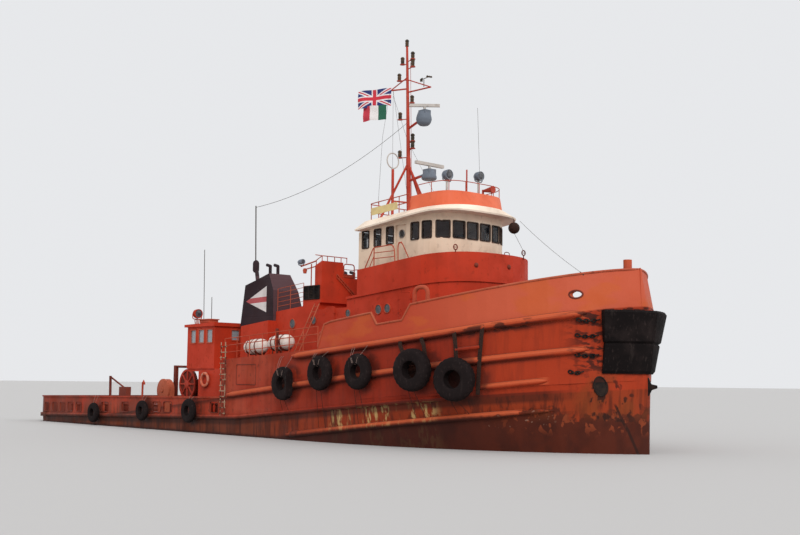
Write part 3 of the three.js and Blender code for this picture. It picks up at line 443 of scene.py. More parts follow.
steelPaint = {  # main tone, faded tone, share that is faded, rust
    "hullPaint": ((0.34, 0.036, 0.015), (0.40, 0.080, 0.040), 0.45, 0.5),
    "housePaint": ((0.46, 0.034, 0.012), (0.51, 0.050, 0.022), 0.45, 0.25),
    "creamPaint": ((0.74, 0.58, 0.44), (0.66, 0.47, 0.34), 0.5, 0.18),
    # The brim's cream is a lighter copy of creamPaint, painted highlight where the brim catches the light
    "brimPaint": ((0.88, 0.74, 0.60), (0.80, 0.62, 0.48), 0.4, 0.10),
    "coamingPaint": ((0.67, 0.130, 0.058), (0.74, 0.19, 0.10), 0.5, 0.10),
    "funnelPaint": ((0.024, 0.014, 0.018), (0.050, 0.030, 0.034), 0.6, 0.12),
    "gearPaint": ((0.13, 0.022, 0.014), (0.22, 0.048, 0.028), 0.6, 0.6),
    "greyPaint": ((0.13, 0.15, 0.18), (0.24, 0.26, 0.30), 0.5, 0.15),
    "paleGreyPaint": ((0.50, 0.46, 0.42), (0.40, 0.35, 0.31), 0.5, 0.2),
    "mastPaint": ((0.42, 0.040, 0.022), (0.48, 0.10, 0.065), 0.5, 0.3),
    "railPaint": ((0.40, 0.052, 0.024), (0.46, 0.11, 0.055), 0.5, 0.35),
    "lightRailPaint": ((0.42, 0.10, 0.050), (0.36, 0.060, 0.030), 0.6, 0.35),
}
rustTone, dirtTone = (0.075, 0.022, 0.011), (0.032, 0.014, 0.010)
# side is painted shade and dirt on the hull side below the top rail
hullTones = {
    "bulwark": (0.43, 0.058, 0.026), "bulwarkBow": (0.48, 0.090, 0.043), "patch": (0.47, 0.090, 0.022),
    # rail is a painted highlight on the rails' upper faces
    "rail": (0.50, 0.100, 0.038), "side": (0.235, 0.020, 0.008), "bowSide": (0.37, 0.040, 0.012),
    "bowRust": (0.20, 0.042, 0.012), "belowRub": (0.24, 0.036, 0.011), "belowRubAft": (0.125, 0.032, 0.015),
    "scraped": (0.50, 0.33, 0.13), "black": (0.022, 0.010, 0.008), "boot": (0.050, 0.013, 0.009),
    "bootBow": (0.090, 0.018, 0.009), "bootMottle": (0.028, 0.010, 0.008), "flake": (0.24, 0.048, 0.018),
    "paleFlake": (0.34, 0.20, 0.14), "sternRust": (0.11, 0.034, 0.020), "deck": (0.15, 0.042, 0.030),
}


def weathered(finish, name):
    # Two paint tones in broad clouds, rain streaks down the plates, rust spots and dented plating
    main, faded, fade, rust = steelPaint[name]
    clouds = finish.noise(0.45, 1.6, 4).ramp(0.38, 0.66)
    runs = finish.noise(2.3, 0.09, 4, 7.0).ramp(0.52, 0.72)
    spots = finish.noise(5.5, 0.8, 7, 3.0).ramp(0.60, 0.70)
    grime = finish.noise(1.1, 1, 6, 11.0).ramp(0.40, 0.75)
    colour = finish.layers(finish.mix(clouds * fade, main, faded), (grime * 0.22, dirtTone),
                           (runs * 0.32 * rust, rustTone), (spots * rust, rustTone))
    return colour, spots, grime


def paintFinish(name):
    finish = Finish(name)
    colour, spots, grime = weathered(finish, name)
    dents = finish.noise(0.9, 1, 2, 5.0)
    finish.done(colour, 0.48 + 0.25 * grime + 0.2 * spots, height=dents + spots * -0.05, depth=0.02)


tyreSet = {
    "list": [  # name, x, z, radius, width
        ("aft_1", -11.40, 0.65, 0.50, 0.24), ("aft_2", -6.43, 0.88, 0.48, 0.24),
        ("aft_3", -2.22, 0.98, 0.54, 0.24), ("middle_1", 5.00, 2.26, 0.68, 0.33),
        ("middle_2", 7.38, 2.68, 0.68, 0.33), ("middle_3", 9.65, 2.74, 0.68, 0.33),
        ("bow_1", 12.40, 2.80, 0.77, 0.48), ("bow_2", 14.06, 2.48, 0.77, 0.48),
    ],
    "bore": 0.35, "flattened": {"middle_1": 0.62}, "standOff": 0.135, "around": 96, "section": 22,
    "blocks": 24, "groove": 0.016,
    # darkBores and darkBore: how dark the hull is painted in each bore, painted shade and rubber smear
    "darkBores": {"bow_1": 0.9, "bow_2": 0.9, "middle_1": 0.8, "middle_2": 0.5}, "darkBore": 0.35,
}


def hullFinish():
    finish = Finish("hullPaint")
    colour, spots, grime = weathered(finish, "hullPaint")
    x, z, noise, up = finish.x, finish.z, finish.noise, finish.facing(2)
    topRail, secondRail, thirdRail, lowRail = topRailAt(x), secondRailAt(x), thirdRailAt(x), lowRailAt(x)
    rub = rubAftAt(x).most(rubForeAt(x))
    boot = lowRail.least(1.42).most(0.10)
    ragged = (noise(1.1, 1, 5, 2.0) - 0.5) * 1.5 + (noise(5, 0.7, 6) - 0.5)
    runs, fine = noise(3.2, 0.12, 5, 4.0), noise(7.5, 0.35, 6, 12.0)
    mottle = noise(1.2, 0.6, 6, 33.0).ramp(0.42, 0.62)
    # Above the top rail the bulwark is paler, faded paint and painted highlight; below it the side is darker,
    # painted shade and dirt
    bulwark = (z - topRail).ramp(0.02, 0.12) * x.ramp(5.0, 6.0)
    shaded = 1 - bulwark
    patches = noise(0.55, 1.8, 3, 21.0).ramp(0.50, 0.60)
    belowRub = (rub - z).ramp(0.02, 0.10) * x.ramp(-19.0, -17.0)
    scraped = belowRub * x.ramp(7.4, 8.2) * x.ramp(13.2, 12.6) * runs.ramp(0.47, 0.55) * fine.ramp(0.43, 0.55)
    streaks = noise(5.0, 0.10, 6, 14.0).ramp(0.54, 0.36) * shaded
    # Painted highlight: the rails' upper faces take the lighter rail tone
    railTopHighlight = 0.0
    for line, edge, full, reach in ((topRail, 0.16, 0.13, x.ramp(5.0, 5.4)),
                                    (secondRail, 0.15, 0.12, x.ramp(0.4, 0.8)),
                                    (lowRail, 0.13, 0.11, x.ramp(5.0, 10.0) * x.ramp(16.0, 15.7)),
                                    (thirdRail, 0.13, 0.11, x.ramp(14.6, 14.8) * x.ramp(16.8, 16.6))):
        railTopHighlight = (abs(line - z).ramp(edge, full) * reach).most(railTopHighlight)
    railTopHighlight = railTopHighlight * up.ramp(-0.55, 0.1) * x.ramp(17.9, 17.7) * (abs(up) > 0.035)
    # Painted shade and rubber smear: the hull in each tyre's bore is painted dark
    nearTyre, boreShadeAndSmear = 9.0, 0.0
    for name, tyreX, tyreZ, radius, _ in tyreSet["list"]:
        away = lambda shift: (x - (tyreX + shift)) ** 2 + (z - tyreZ) ** 2
        bore = away(-0.35 * radius).ramp(0.50 * radius ** 2, 0.40 * radius ** 2)
        boreShadeAndSmear = bore * tyreSet["darkBores"].get(name, tyreSet["darkBore"]) + boreShadeAndSmear
        nearTyre = (away(0.10).math("SQRT") - radius).least(nearTyre)
    # Painted shadow and rubber scuff marks on the hull round each tyre, reaching further toward the bow
    tyreScuffsAndShadow = nearTyre.ramp(0.25, -0.05) * noise(2.4, 1, 5, 71.0).ramp(0.30, 0.55)
    drip = abs(x - 18.27 - (1.63 - z) * 0.272).ramp(0.05, 0.02) * z.ramp(1.75, 1.6) * x.ramp(18.1, 18.2)
    inboard = (abs(finish.y) < 4.84) * x.ramp(0.2, 0.0) * (z - 0.36 - x * 0.022).ramp(0.0, 0.1)
    band = lambda line, start, full, hold, end: (line - z).ramp(start, full) * (line - z).ramp(end, hold)
    # Painted shadow and dirt: dark bands under each rail and the rub bar
    shadeAndDirtUnderRails = (band(topRail, 0.05, 0.10, 0.12, 0.34) * x.ramp(5.0, 6.0)
                  + band(secondRail, 0.05, 0.10, 0.12, 0.30)
                  + band(lowRail, 0.04, 0.08, 0.08, 0.30) * x.ramp(4.8, 5.2)
                  + band(rub, -0.06, 0.02, 0.20, 0.40) * 1.3).least(1.0) * x.ramp(17.6, 16.4)
    smears = (band(topRail, -0.12, 0.0, 0.12, 0.40) * x.ramp(13.2, 14.6) * x.ramp(16.9, 16.2)
              * noise(1.5, 2.5, 4, 9.0).ramp(0.47, 0.55))
    nearFender = x.ramp(17.0, 17.9) * z.ramp(2.5, 3.0) * shaded * noise(2.2, 2.6, 5, 61.0).ramp(0.48, 0.56)
    hawseStain = ((x - 18.1) ** 2 * 1.3 + (z - 1.75) ** 2 * 0.8).ramp(1.3, 0.1)
    # Painted shade in the hawse opening
    hawseOpeningShade = ((x - 17.99) ** 2 / 0.026 + (z - 2.29) ** 2 / 0.115).ramp(1.05, 0.9)
    under = (boot - z + ragged * x.ramp(13.8, 16.6) * 0.75 + ragged * 0.06).ramp(-0.06, 0.10)
    flakes = under * noise(3.6, 0.7, 7, 31.0).ramp(0.56, 0.60) * x.ramp(14.0, 16.5) * z.ramp(0.5, 1.0)
    paleFlakes = ((z - boot).ramp(-0.55, -0.35) * under * noise(5.5, 1, 7, 41.0).ramp(0.63, 0.66)
                  * x.ramp(14.0, 15.0) * x.ramp(17.0, 16.2))
    sternDirt = x.ramp(-3.0, -9.0) * noise(0.9, 0.7, 5, 51.0).ramp(0.36, 0.60)
    sternFoot = x.ramp(0.5, -2.0) * (z - rub).ramp(1.0, 0.2) * runs.ramp(0.40, 0.58)
    coats = [
        (shaded * x.ramp(0.5, 9.0) * 0.80, "side"), (bulwark * 0.85, "bulwark"),
        (bulwark * x.ramp(11.0, 15.5) * 0.85, "bulwarkBow"), (bulwark * patches * 0.55, "patch"),
        (shaded * x.ramp(13.9, 15.6) * 0.8, "bowSide"), (sternDirt * 0.6, "sternRust"),
        (sternFoot * 0.6, "sternRust"), (belowRub * 0.8, "belowRub"),
        (belowRub * x.ramp(6.0, 2.5) * 0.8, "belowRubAft"),
        (belowRub * x.ramp(9.0, 6.0) * mottle * 0.45, "black"),
        (streaks * (belowRub * 0.40 + 0.16), "black"), (scraped * 0.85, "scraped"),
        (hawseStain * noise(1.6, 0.6, 6, 15.0).ramp(0.42, 0.56) * 0.75, "bowRust"),
        (shadeAndDirtUnderRails * 0.62, "black"), (railTopHighlight * 0.75, "rail"), (tyreScuffsAndShadow * 0.60, "black"),
        (boreShadeAndSmear.least(1.0), "black"), (smears * 0.8, "black"), (nearFender * 0.85, "black"),
        (under * 0.95, "boot"), (under * x.ramp(7.0, 3.0) * 0.5, "black"),
        (under * x.ramp(12.5, 16.0) * 0.85, "bootBow"),
        ((z - boot).ramp(-0.45, -0.05) * under * x.ramp(13.5, 16.0) * mottle * 0.8, "bowRust"),
        (under * mottle * 0.45, "bootMottle"), (flakes * 0.8, "flake"), (paleFlakes * 0.45, "paleFlake"),
        (hawseStain * noise(3.4, 0.7, 6, 19.0).ramp(0.56, 0.62) * 0.85, "black"), (drip * 0.8, "black"),
        (hawseOpeningShade * 0.95, "black"), (inboard * 0.75, "deck"), (up.ramp(0.80, 0.92) * 0.9, "deck"),
    ]
    colour = finish.layers(colour, *((mask, hullTones[tone]) for mask, tone in coats))
    frames = abs((x / 0.62).math("FRACT") - 0.5)
    dents = noise(0.8, 1, 3, 5.0) * 1.4 + frames.ramp(0.0, 0.5) * 0.12
    finish.done(colour, 0.5 + 0.3 * grime, height=dents - spots * 0.06, depth=0.03)


def roofFinish():
    finish = Finish("brimAndCoaming")
    # Painted highlight: the brim takes the lighter copy of the wall's cream
    cream, _, grime = weathered(finish, "brimPaint")
    orange = weathered(finish, "coamingPaint")[0]
    wall = (finish.z - roofTopAt(finish.x)).ramp(0.0, 0.02)
    finish.done(finish.mix(wall, cream, orange), 0.5 + 0.2 * grime)


def wheelhouseFinish():
    # Cream outside, painted shade (near-black) on the inner face of the wall
    finish = Finish("wheelhousePaint")
    cream, _, grime = weathered(finish, "creamPaint")
    ahead = (finish.x - 9.11).most(0.0) / 1.745
    insideShade = ((abs(finish.y) / 2.155) ** 3.09 + ahead ** 3.09).ramp(1.0, 0.985)
    doorway = (abs(finish.x - 8.62) < 0.55) * (abs(finish.y) > 2.0)
    insideShade = insideShade * finish.x.ramp(6.06, 6.09) * (1 - doorway)
    runs = finish.noise(1.8, 0.05, 4, 9.0).ramp(0.55, 0.75)
    below = (finish.z - hullLine(8.0, 0.037)(finish.x)).ramp(0.0, -0.5)
    colour = finish.layers(cream, (runs * below * 0.25, (0.42, 0.24, 0.12)), (insideShade, (0.030, 0.018, 0.013)))
    finish.done(colour, 0.45 + 0.2 * grime)


def partPainted(name, main, *parts):
    # Several paints on one piece; each part's mask makes its share out of the finish's coordinates
    finish = Finish(name)
    colour, _, grime = weathered(finish, main)
    for mask, paint in parts:
        colour = finish.mix(mask(finish), colour, weathered(finish, paint)[0])
    finish.done(colour, 0.5 + 0.2 * grime)


def funnelFinish():
    # Black with a plain white pennant with one red band on each outer side
    finish = Finish("funnelPaint")
    colour, _, grime = weathered(finish, "funnelPaint")
    x, z = finish.x, finish.z
    # Painted highlight: forward-facing faces below 7.22 m are lighter than the black
    colour = finish.mix(finish.facing(0).ramp(0.2, 0.6) * (z < 7.22) * 0.75, colour, (0.100, 0.052, 0.057))
    fromTip = x + 1.19
    aside = abs(z - (5.98 + fromTip * 0.03))
    pennant = (abs(finish.y) > 2.885) * (aside < fromTip * 0.37) * (x < 0.42) * (x > -1.19)
    colour = finish.layers(colour, (pennant * 0.92, (0.72, 0.66, 0.64)),
                           (pennant * (aside < 0.12) * 0.9, (0.42, 0.035, 0.045)),
                           (pennant * grime * 0.25, dirtTone))
    ribs = abs((z / 0.42).math("FRACT") - 0.5).ramp(0.0, 0.06)
    finish.done(colour, 0.6 + 0.2 * grime, height=ribs, depth=0.006)


def rubberFinish(name, tone):
    finish = Finish(name)
    dust = finish.noise(1.6, 1, 6).ramp(0.45, 0.75)
    scuff = finish.noise(14, 0.4, 4, 3.0).ramp(0.58, 0.70)
    salt = finish.noise(4.0, 0.2, 5, 8.0).ramp(0.60, 0.75)
    colour = finish.layers(tone, (dust * 0.30, (0.040, 0.026, 0.024)), (scuff * 0.3, (0.055, 0.036, 0.032)),
                           (salt * 0.12, (0.10, 0.075, 0.065)))
    finish.done(colour, 0.85 - 0.15 * scuff, height=finish.noise(30, 1, 5), depth=0.012)


def plainFinish(name, tone, second, roughness, metallic=0.0, scale=4.0, **fixed):
    finish = Finish(name)
    clouds = finish.noise(scale, 1, 5).ramp(0.35, 0.7)
    finish.done(finish.mix(clouds, tone, second), roughness + 0.12 * clouds, metallic,
                height=finish.noise(scale * 9, 1, 3, 6.0), depth=0.002, **fixed)


def glassFinish(name, clear, salted, alpha):
    finish = Finish(name)
    salt = finish.noise(1.5, 0.5, 5).ramp(0.45, 0.8)
    finish.done(finish.mix(salt * 0.3, clear, salted), 0.05 + 0.2 * salt, Alpha=alpha + 0.12 * salt,
                Specular_IOR_Level=0.5)


def ropeFinish(name, tone, second, scale=60):
    finish = Finish(name)
    strands = finish.noise(scale, 0.5, 2)
    finish.done(finish.mix(strands.ramp(0.46, 0.54), tone, second), 0.9, height=strands, depth=0.003)


for name in steelPaint:
    if name not in ("hullPaint", "funnelPaint"):
        paintFinish(name)
for makeFinish in (hullFinish, funnelFinish, roofFinish, wheelhouseFinish):
    makeFinish()
onBracket = lambda low, high: (lambda f: (f.x > 7.43) * (f.z > low) * (f.z < high), "greyPaint")
partPainted("mastAndAerial", "mastPaint", (lambda f: f.z.ramp(11.40, 11.45) * (f.y < -0.4), "paleGreyPaint"),
            onBracket(11.09, 11.7), onBracket(13.59, 14.3))
partPainted("lampsAndHorns", "paleGreyPaint", (lambda f: (f.y > 0.55) * (f.z < 10.45), "mastPaint"),
            (lambda f: abs(f.y + 0.2) < 0.06, "mastPaint"))
partPainted("lampHeads", "greyPaint", (lambda f: f.x < -2, "housePaint"))
partPainted("winchFramePaint", "gearPaint",
            (lambda f: (abs(f.x + 7.9) < 0.6) * (f.y < -2.87), "lightRailPaint"))
rubberFinish("tyreRubber", (0.011, 0.007, 0.007))
rubberFinish("fenderRubber", (0.006, 0.004, 0.004))
glassFinish("windowGlass", (0.010, 0.011, 0.015), (0.08, 0.09, 0.10), 0.30)
# Pale grey and mostly opaque: painted reflection of the sky in the cabin windows
glassFinish("paleWindowGlass", (0.34, 0.36, 0.38), (0.20, 0.21, 0.22), 0.72)
plainFinish("windowSeal", (0.020, 0.014, 0.012), (0.060, 0.040, 0.032), 0.7)
# Near-black: painted shade in the hawse opening and the louvres, and the dark steel of the chains, the hawse
# rims and the stem bracket
plainFinish("darkRecess", (0.010, 0.008, 0.008), (0.030, 0.020, 0.016), 0.7)
plainFinish("lampLens", (0.030, 0.032, 0.036), (0.09, 0.09, 0.10), 0.08, 0.0, 8.0, Coat_Weight=0.6)
plainFinish("wornSteel", (0.42, 0.40, 0.38), (0.22, 0.18, 0.15), 0.32, 0.85)
plainFinish("bronze", (0.42, 0.27, 0.11), (0.22, 0.17, 0.09), 0.35, 0.9)
plainFinish("raftShell", (0.74, 0.66, 0.60), (0.60, 0.47, 0.40), 0.35)
plainFinish("lifebuoyOrange", (0.52, 0.10, 0.045), (0.50, 0.26, 0.19), 0.5)
plainFinish("paleBoard", (0.66, 0.52, 0.24), (0.58, 0.44, 0.22), 0.6)
plainFinish("lanternHousing", (0.035, 0.030, 0.022), (0.10, 0.060, 0.036), 0.5)
ropeFinish("whiteRope", (0.30, 0.22, 0.19), (0.16, 0.10, 0.08))
ropeFinish("spottedRope", (0.10, 0.030, 0.020), (0.36, 0.24, 0.16), 7.0)
ropeFinish("darkRope", (0.022, 0.012, 0.010), (0.045, 0.022, 0.016))
ropeFinish("wireRope", (0.10, 0.085, 0.075), (0.045, 0.035, 0.030))
print("finishes", len(paints))

nodePaints = {  # paint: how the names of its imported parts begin; the longest beginning counts
    "hullPaint": "hull forecastle bulwark_aft bulwark_forward bow_bitt rudder", "fenderRubber": "bow_fender",
    "housePaint": "deckhouse cabin_ casing main_house bridge_deck deck_trunk", "funnelPaint": "funnel",
    "wheelhousePaint": "wheelhouse_", "brimAndCoaming": "wheelhouse_roof", "creamPaint": "wheelhouse_door",
    "mastAndAerial": "mast", "paleGreyPaint": "radar_", "lampsAndHorns": "roof_lamps",
    "gearPaint": "winch stern_bitts windlass", "winchFramePaint": "winch_frame", "raftShell": "life_rafts",
    "bronze": "propeller", "tyreRubber": "tyre_", "greyPaint": "cabin_console helm_console",
}
paintOf = {start: paint for paint, starts in nodePaints.items() for start in starts.split()}
for name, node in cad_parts.items():
    best = max((start for start in paintOf if name.startswith(start)), key=len)
    for place in node.material_slots:
        place.material = paints[paintOf[best]]
print("packed parts painted", len(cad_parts))


# Tyres along both sides

def tyreFace(x, z, radius):
    return np.maximum(sideHalf(x, z), sideHalf(x, z + 0.9 * radius)) + tyreSet["standOff"]


def tyreShape(name, x, z, radius, width):
    # A flattened ring: r = middle + a soft(cos v), w = b soft(sin v), with tread blocks where cos v
    # is near 1 and a channel between the beads where it is near -1; laid against the side
    u, v = turn(tyreSet["around"])[:, None], turn(tyreSet["section"])[None]
    bore = radius * tyreSet["bore"]
    middle, a, b = (radius + bore) / 2, (radius - bore) / 2, width / 2
    soft = lambda s, power: np.sign(s) * np.abs(s) ** power
    w = b * soft(np.sin(v), 0.75)
    lug = np.sin(u * tyreSet["blocks"] + 2.2 * np.sign(np.sin(v))) > -0.1
    r = middle + a * soft(np.cos(v), 0.55) - tyreSet["groove"] * (np.cos(v) > 0.45) * (1 - lug)
    r = r + 0.45 * a * np.clip(-np.cos(v) - 0.35, 0, 1) * (np.abs(np.sin(v)) < 0.6)
    side = np.minimum(r * np.cos(u), radius * tyreSet["flattened"].get(name, 2.0))
    heading = np.arctan(-(tyreFace(x + 0.3, z, radius) - tyreFace(x - 0.3, z, radius)) / 0.6)
    ahead, out = xyz(np.cos(heading), np.sin(heading), 0), xyz(-np.sin(heading), np.cos(heading), 0)
    centre = xyz(x, -tyreFace(x, z, radius) - width / 2, z)
    return grid(centre + side[..., None] * ahead + (r * np.sin(u))[..., None] * [0, 0, 1]
                + (w * np.ones_like(u))[..., None] * out, roundU=True, roundV=True)


starboardTyres = [tyreShape(*values) for values in tyreSet["list"]]
for side, shape in zip(("starboard", "port"), bothSides(starboardTyres)):
    makePiece(f"tyres_{side}", [shape], "tyreRubber", "rubber", crease=50,
              replaces=[f"tyre_{name}_{side}" for name, *_ in tyreSet["list"]])


# Ropes and straps that hold the tyres

tyreRopes = {
    "rope": 0.007, "lowRope": 0.009, "strapWidth": 0.16, "strapThick": 0.03,
    "straps": [  # top x and z, low x and z
        (11.64, 3.95, 11.85, 3.05), (12.61, 4.12, 12.80, 3.25), (13.93, 4.28, 14.0, 3.15),
        (14.92, 4.42, 14.66, 1.95),
    ],
}


def ropeDown(x, z, radius, width, lean):
    # From the rail over the face of the tyre and into its bore
    top = onSide(x + lean * 1.25, topRailAt(x + lean * 1.25) + 0.09, 0.02)
    rail = onSide(x + lean * 1.2, topRailAt(x + lean * 1.2), 0.13)
    face = tyreFace(x, z, radius) + width + 0.010
    high, low = z + radius * 0.97, z + radius * 0.42
    onFace = [(0.85, face - 0.12, high), (0.55, face, high - 0.16), (0.35, face, low + 0.04),
              (0.28, face - 0.14, low - 0.03)]
    path = np.array([top, rail, *((x + lean * share, -y, z) for share, y, z in onFace)])
    return tube(path, tyreRopes["rope"], 6)


ropeShapes, lowShapes, strapShapes = [], [], []
for name, x, z, radius, width in tyreSet["list"]:
    face = tyreFace(x, z, radius)
    if name.startswith("middle"):
        ropeShapes += [ropeDown(x, z, radius, width, lean) for lean in (-0.42, -0.30, 0.30)]
    if name.startswith("aft"):
        ropeShapes += [rods([x + lean, -deckHalf(x) - 0.09, aftBulwarkTopAt(x)],
                            [x + lean * 0.6, -face - 0.1, z + radius * 0.9], tyreRopes["lowRope"])
                       for lean in (-0.16, 0.16)]
    else:
        foot = lowRailAt(x) + 0.10 if x > 6 else rubForeAt(x) + 0.08
        lowShapes += [rods([x + lean * 0.7, -face - width * 0.5, z - radius * 0.9],
                           onSide(x + lean, foot, 0.09), tyreRopes["lowRope"]) for lean in (-0.3, 0.1)]
for topX, topZ, lowX, lowZ in tyreRopes["straps"]:
    path = [onSide(*at) for at in ((topX, topZ, 0.0), (topX, topZ - 0.06, 0.13), (topX, topZ - 0.25, 0.15),
                                   ((topX + lowX) / 2, (topZ + lowZ) / 2, 0.16), (lowX, lowZ, 0.20))]
    strapShapes.append(sweep(path, fourCorners(tyreRopes["strapThick"] / 2, tyreRopes["strapWidth"] / 2),
                             upright=(1, 0.2, 0)))
barX = np.linspace(13.95, 14.80, 6)
makePair("strap_bar", [tube(onSide(barX, secondRailAt(barX) + 0.45, 0.14), 0.065, 8)],
         "hullPaint", "hull_paint")
makePair("tyre_ropes", ropeShapes, "whiteRope", "white_paint")
makePair("tyre_low_ropes", lowShapes, "darkRope", "rubber")
makePair("tyre_straps", strapShapes, "darkRope", "rubber", bevel=0.008)
print("tyres and their ropes")


# Caps, rims and edges of the hull

bulwark = {"from": 6.82, "length": 12.11, "lean": 0.23, "inboard": 0.09, "capRadius": 0.042}


def bulwarkPoint(x, z):
    # The forward bulwark leans: between its foot and its top both ends of the outline move inboard
    foot, top = raisedDeckAt(x) - 0.2, bulwarkTopAt(x)
    f = np.clip((z - foot) / (top - foot), 0, 1)
    look = bulwark
    station = look["from"] + (x - look["from"]) / (look["length"] - look["lean"] * f) * look["length"]
    return xyz(x, -deckHalf(np.minimum(station, deck["tip"]), look["inboard"] * f), z)


edgeX = np.concatenate([[6.82, 7.14], np.linspace(7.14, 9.9, 8)[1:], [10.26], np.linspace(10.3, 11.52, 4)[1:],
                        [11.87], 11.9 + 6.79 * np.sin(np.linspace(0, np.pi / 2, 34))[1:]])
edgeZ = np.where(edgeX <= 7.14, 3.72 + (edgeX - 6.82) * 2.75, bulwarkTopAt(edgeX))
lowZ = np.interp(edgeX, [9.9, 10.26, 11.52, 11.87], [4.95, 4.50, 4.62, 5.18])
edgeZ = np.where((edgeX > 9.9) & (edgeX < 11.87), lowZ, edgeZ)
capPath = bulwarkPoint(edgeX, edgeZ)
capPath = np.concatenate([capPath, (capPath * [1, -1, 1])[::-1][1:]])
makePiece("bulwark_cap", [tube(capPath, bulwark["capRadius"], 8)], "lightRailPaint", "hull_paint")

portSet = {
    "list": [(-17.42, 0.56), (-16.45, 0.56), (-15.51, 0.60), (-14.54, 0.64), (-13.58, 0.64), (-10.65, 0.70),
             (-8.57, 0.70), (-5.50, 0.76), (-4.49, 0.76), (-0.52, 0.64)],  # middle x and length
    "sill": 0.04, "height": 0.47, "rim": 0.016,
}
rimShapes = []
for x, length in portSet["list"]:
    outline = roundedRectangle(length + 0.02, portSet["height"] + 0.02, 0.12, 4) + [x, 0]
    middle = aftDeckAt(x) + portSet["sill"] + portSet["height"] / 2
    rimShapes.append(hoop(xyz(outline[:, 0], -deckHalf(outline[:, 0]) - 0.008, middle + outline[:, 1]),
                          portSet["rim"]))
makePair("freeing_port_rims", rimShapes, "gearPaint", "hull_paint")

sideRails = {  # aft end, fore end, height, half its thickness, how far its middle stands out
    "top": (5.30, 17.78, topRailAt, 0.145, 0.02), "second": (0.62, 17.75, secondRailAt, 0.135, 0.02),
    "third": (14.70, 16.70, thirdRailAt, 0.115, 0.02), "low": (4.95, 15.85, lowRailAt, 0.125, 0.01),
}


def roundRail(aft, fore, heightAt, half, out):
    # A round bar half sunk in the side: radius h (d (2 - d))^(1/2), d the distance to its nearer end
    # in units of 0.45 m and at most 1, so that both ends are long domes
    x = (aft + fore) / 2 + np.sin(np.linspace(-np.pi / 2, np.pi / 2, 100)) * (fore - aft) / 2
    d = np.clip(np.minimum(x - aft, fore - x) / 0.45, 0.002, 1)
    return sweep(onSide(x, heightAt(x), out), circle(half, 12), scale=np.sqrt(d * (2 - d)), upright=(0, 0, 1))


makePair("side_rails", [roundRail(*values) for values in sideRails.values()], "hullPaint", "hull_paint")
hawse = {"x": 17.99, "z": 2.29, "width": 0.30, "height": 0.65, "rim": 0.022}
fairlead = {"x": 17.50, "z": 5.41, "width": 0.34, "height": 0.27, "rim": 0.035}


def bulwarkSide(x, z, out):
    return bulwarkPoint(x, z) + [0.35 * out, -0.94 * out, 0]


def sideOval(look, point, out, height, s=1.0):
    # An oval against the side: p(s, u) = centre + s (a cos u, b sin u), a ring or, over s, a disc
    u = turn(28)
    return point(look["x"] + s * look["width"] / 2 * np.cos(u), look["z"] + s * height / 2 * np.sin(u), out)


makePair("hawse_rims", [hoop(sideOval(hawse, onSide, 0.02, hawse["height"]), hawse["rim"], 8)], "darkRecess",
         "hull_paint")
# A near-black disc in the hawse opening, painted shade of the pipe
hawseDisc = sideOval(hawse, onSide, 0.012, 0.64, np.linspace(0, 1, 5)[:, None])
makePair("hawse_pipes", [grid(hawseDisc, roundV=True)], "darkRecess", "deck_steel")
fairleadRing = sideOval(fairlead, bulwarkSide, -0.02, fairlead["height"])
makePair("fairlead_rims", [hoop(fairleadRing, fairlead["rim"], 8)], "gearPaint", "deck_steel")
panelEdge = roundedRectangle(1.45, 0.85, 0.06, 4) + [1.905, 2.615]
makePair("side_panel_edges", [hoop(onSide(panelEdge[:, 0], panelEdge[:, 1], 0.004), 0.018)], "gearPaint",
         "hull_paint")

chainSet = {"rows": [(17.62, 18.12, 4.55), (17.55, 18.06, 4.02), (17.50, 18.02, 3.36), (17.30, 17.62, 2.78)],
            "link": 0.17, "wire": 0.024, "hang": 0.05}


def chain(path):
    # Oval links in turn upright and flat along a path: each is a circle drawn out along the path
    link = chainSet["link"]
    path = spaced(path, link * 0.72)
    middles, ahead = (path[1:] + path[:-1]) / 2, unit(np.diff(path, axis=0))
    u = turn(14)[:, None]
    shapes = []
    for k, (middle, along) in enumerate(zip(middles, ahead)):
        flat = unit(np.cross(along, [0, 0, 1.0]) if k % 2 else np.cross(np.cross(along, [0, 0, 1.0]), along))
        shapes.append(hoop(middle + along * (np.cos(u) * link * 0.52) + flat * (np.sin(u) * link * 0.30),
                           chainSet["wire"]))
    return joined(shapes)


at = np.linspace(0, 1, 12)
sag = chainSet["hang"] * 4 * at * (1 - at)
makePair("fender_chains", [chain(onSide(start + (end - start) * at, z - sag, 0.05))
                           for start, end, z in chainSet["rows"]], "darkRecess", "deck_steel")
bracket = rounded([(0, -0.32), (0, 0.34), (0.12, 0.10), (0.36, 0.06), (0.36, -0.04), (0.14, -0.10)],
                  0.03, 4, True)
makePiece("stem_bracket", [plate(bracket, (18.94, 0.03, 2.28), (1, 0, 0), (0, 0, 1), 0.06)], "darkRecess",
          "hull_paint", bevel=0.006)
print("hull edges")


# Rails

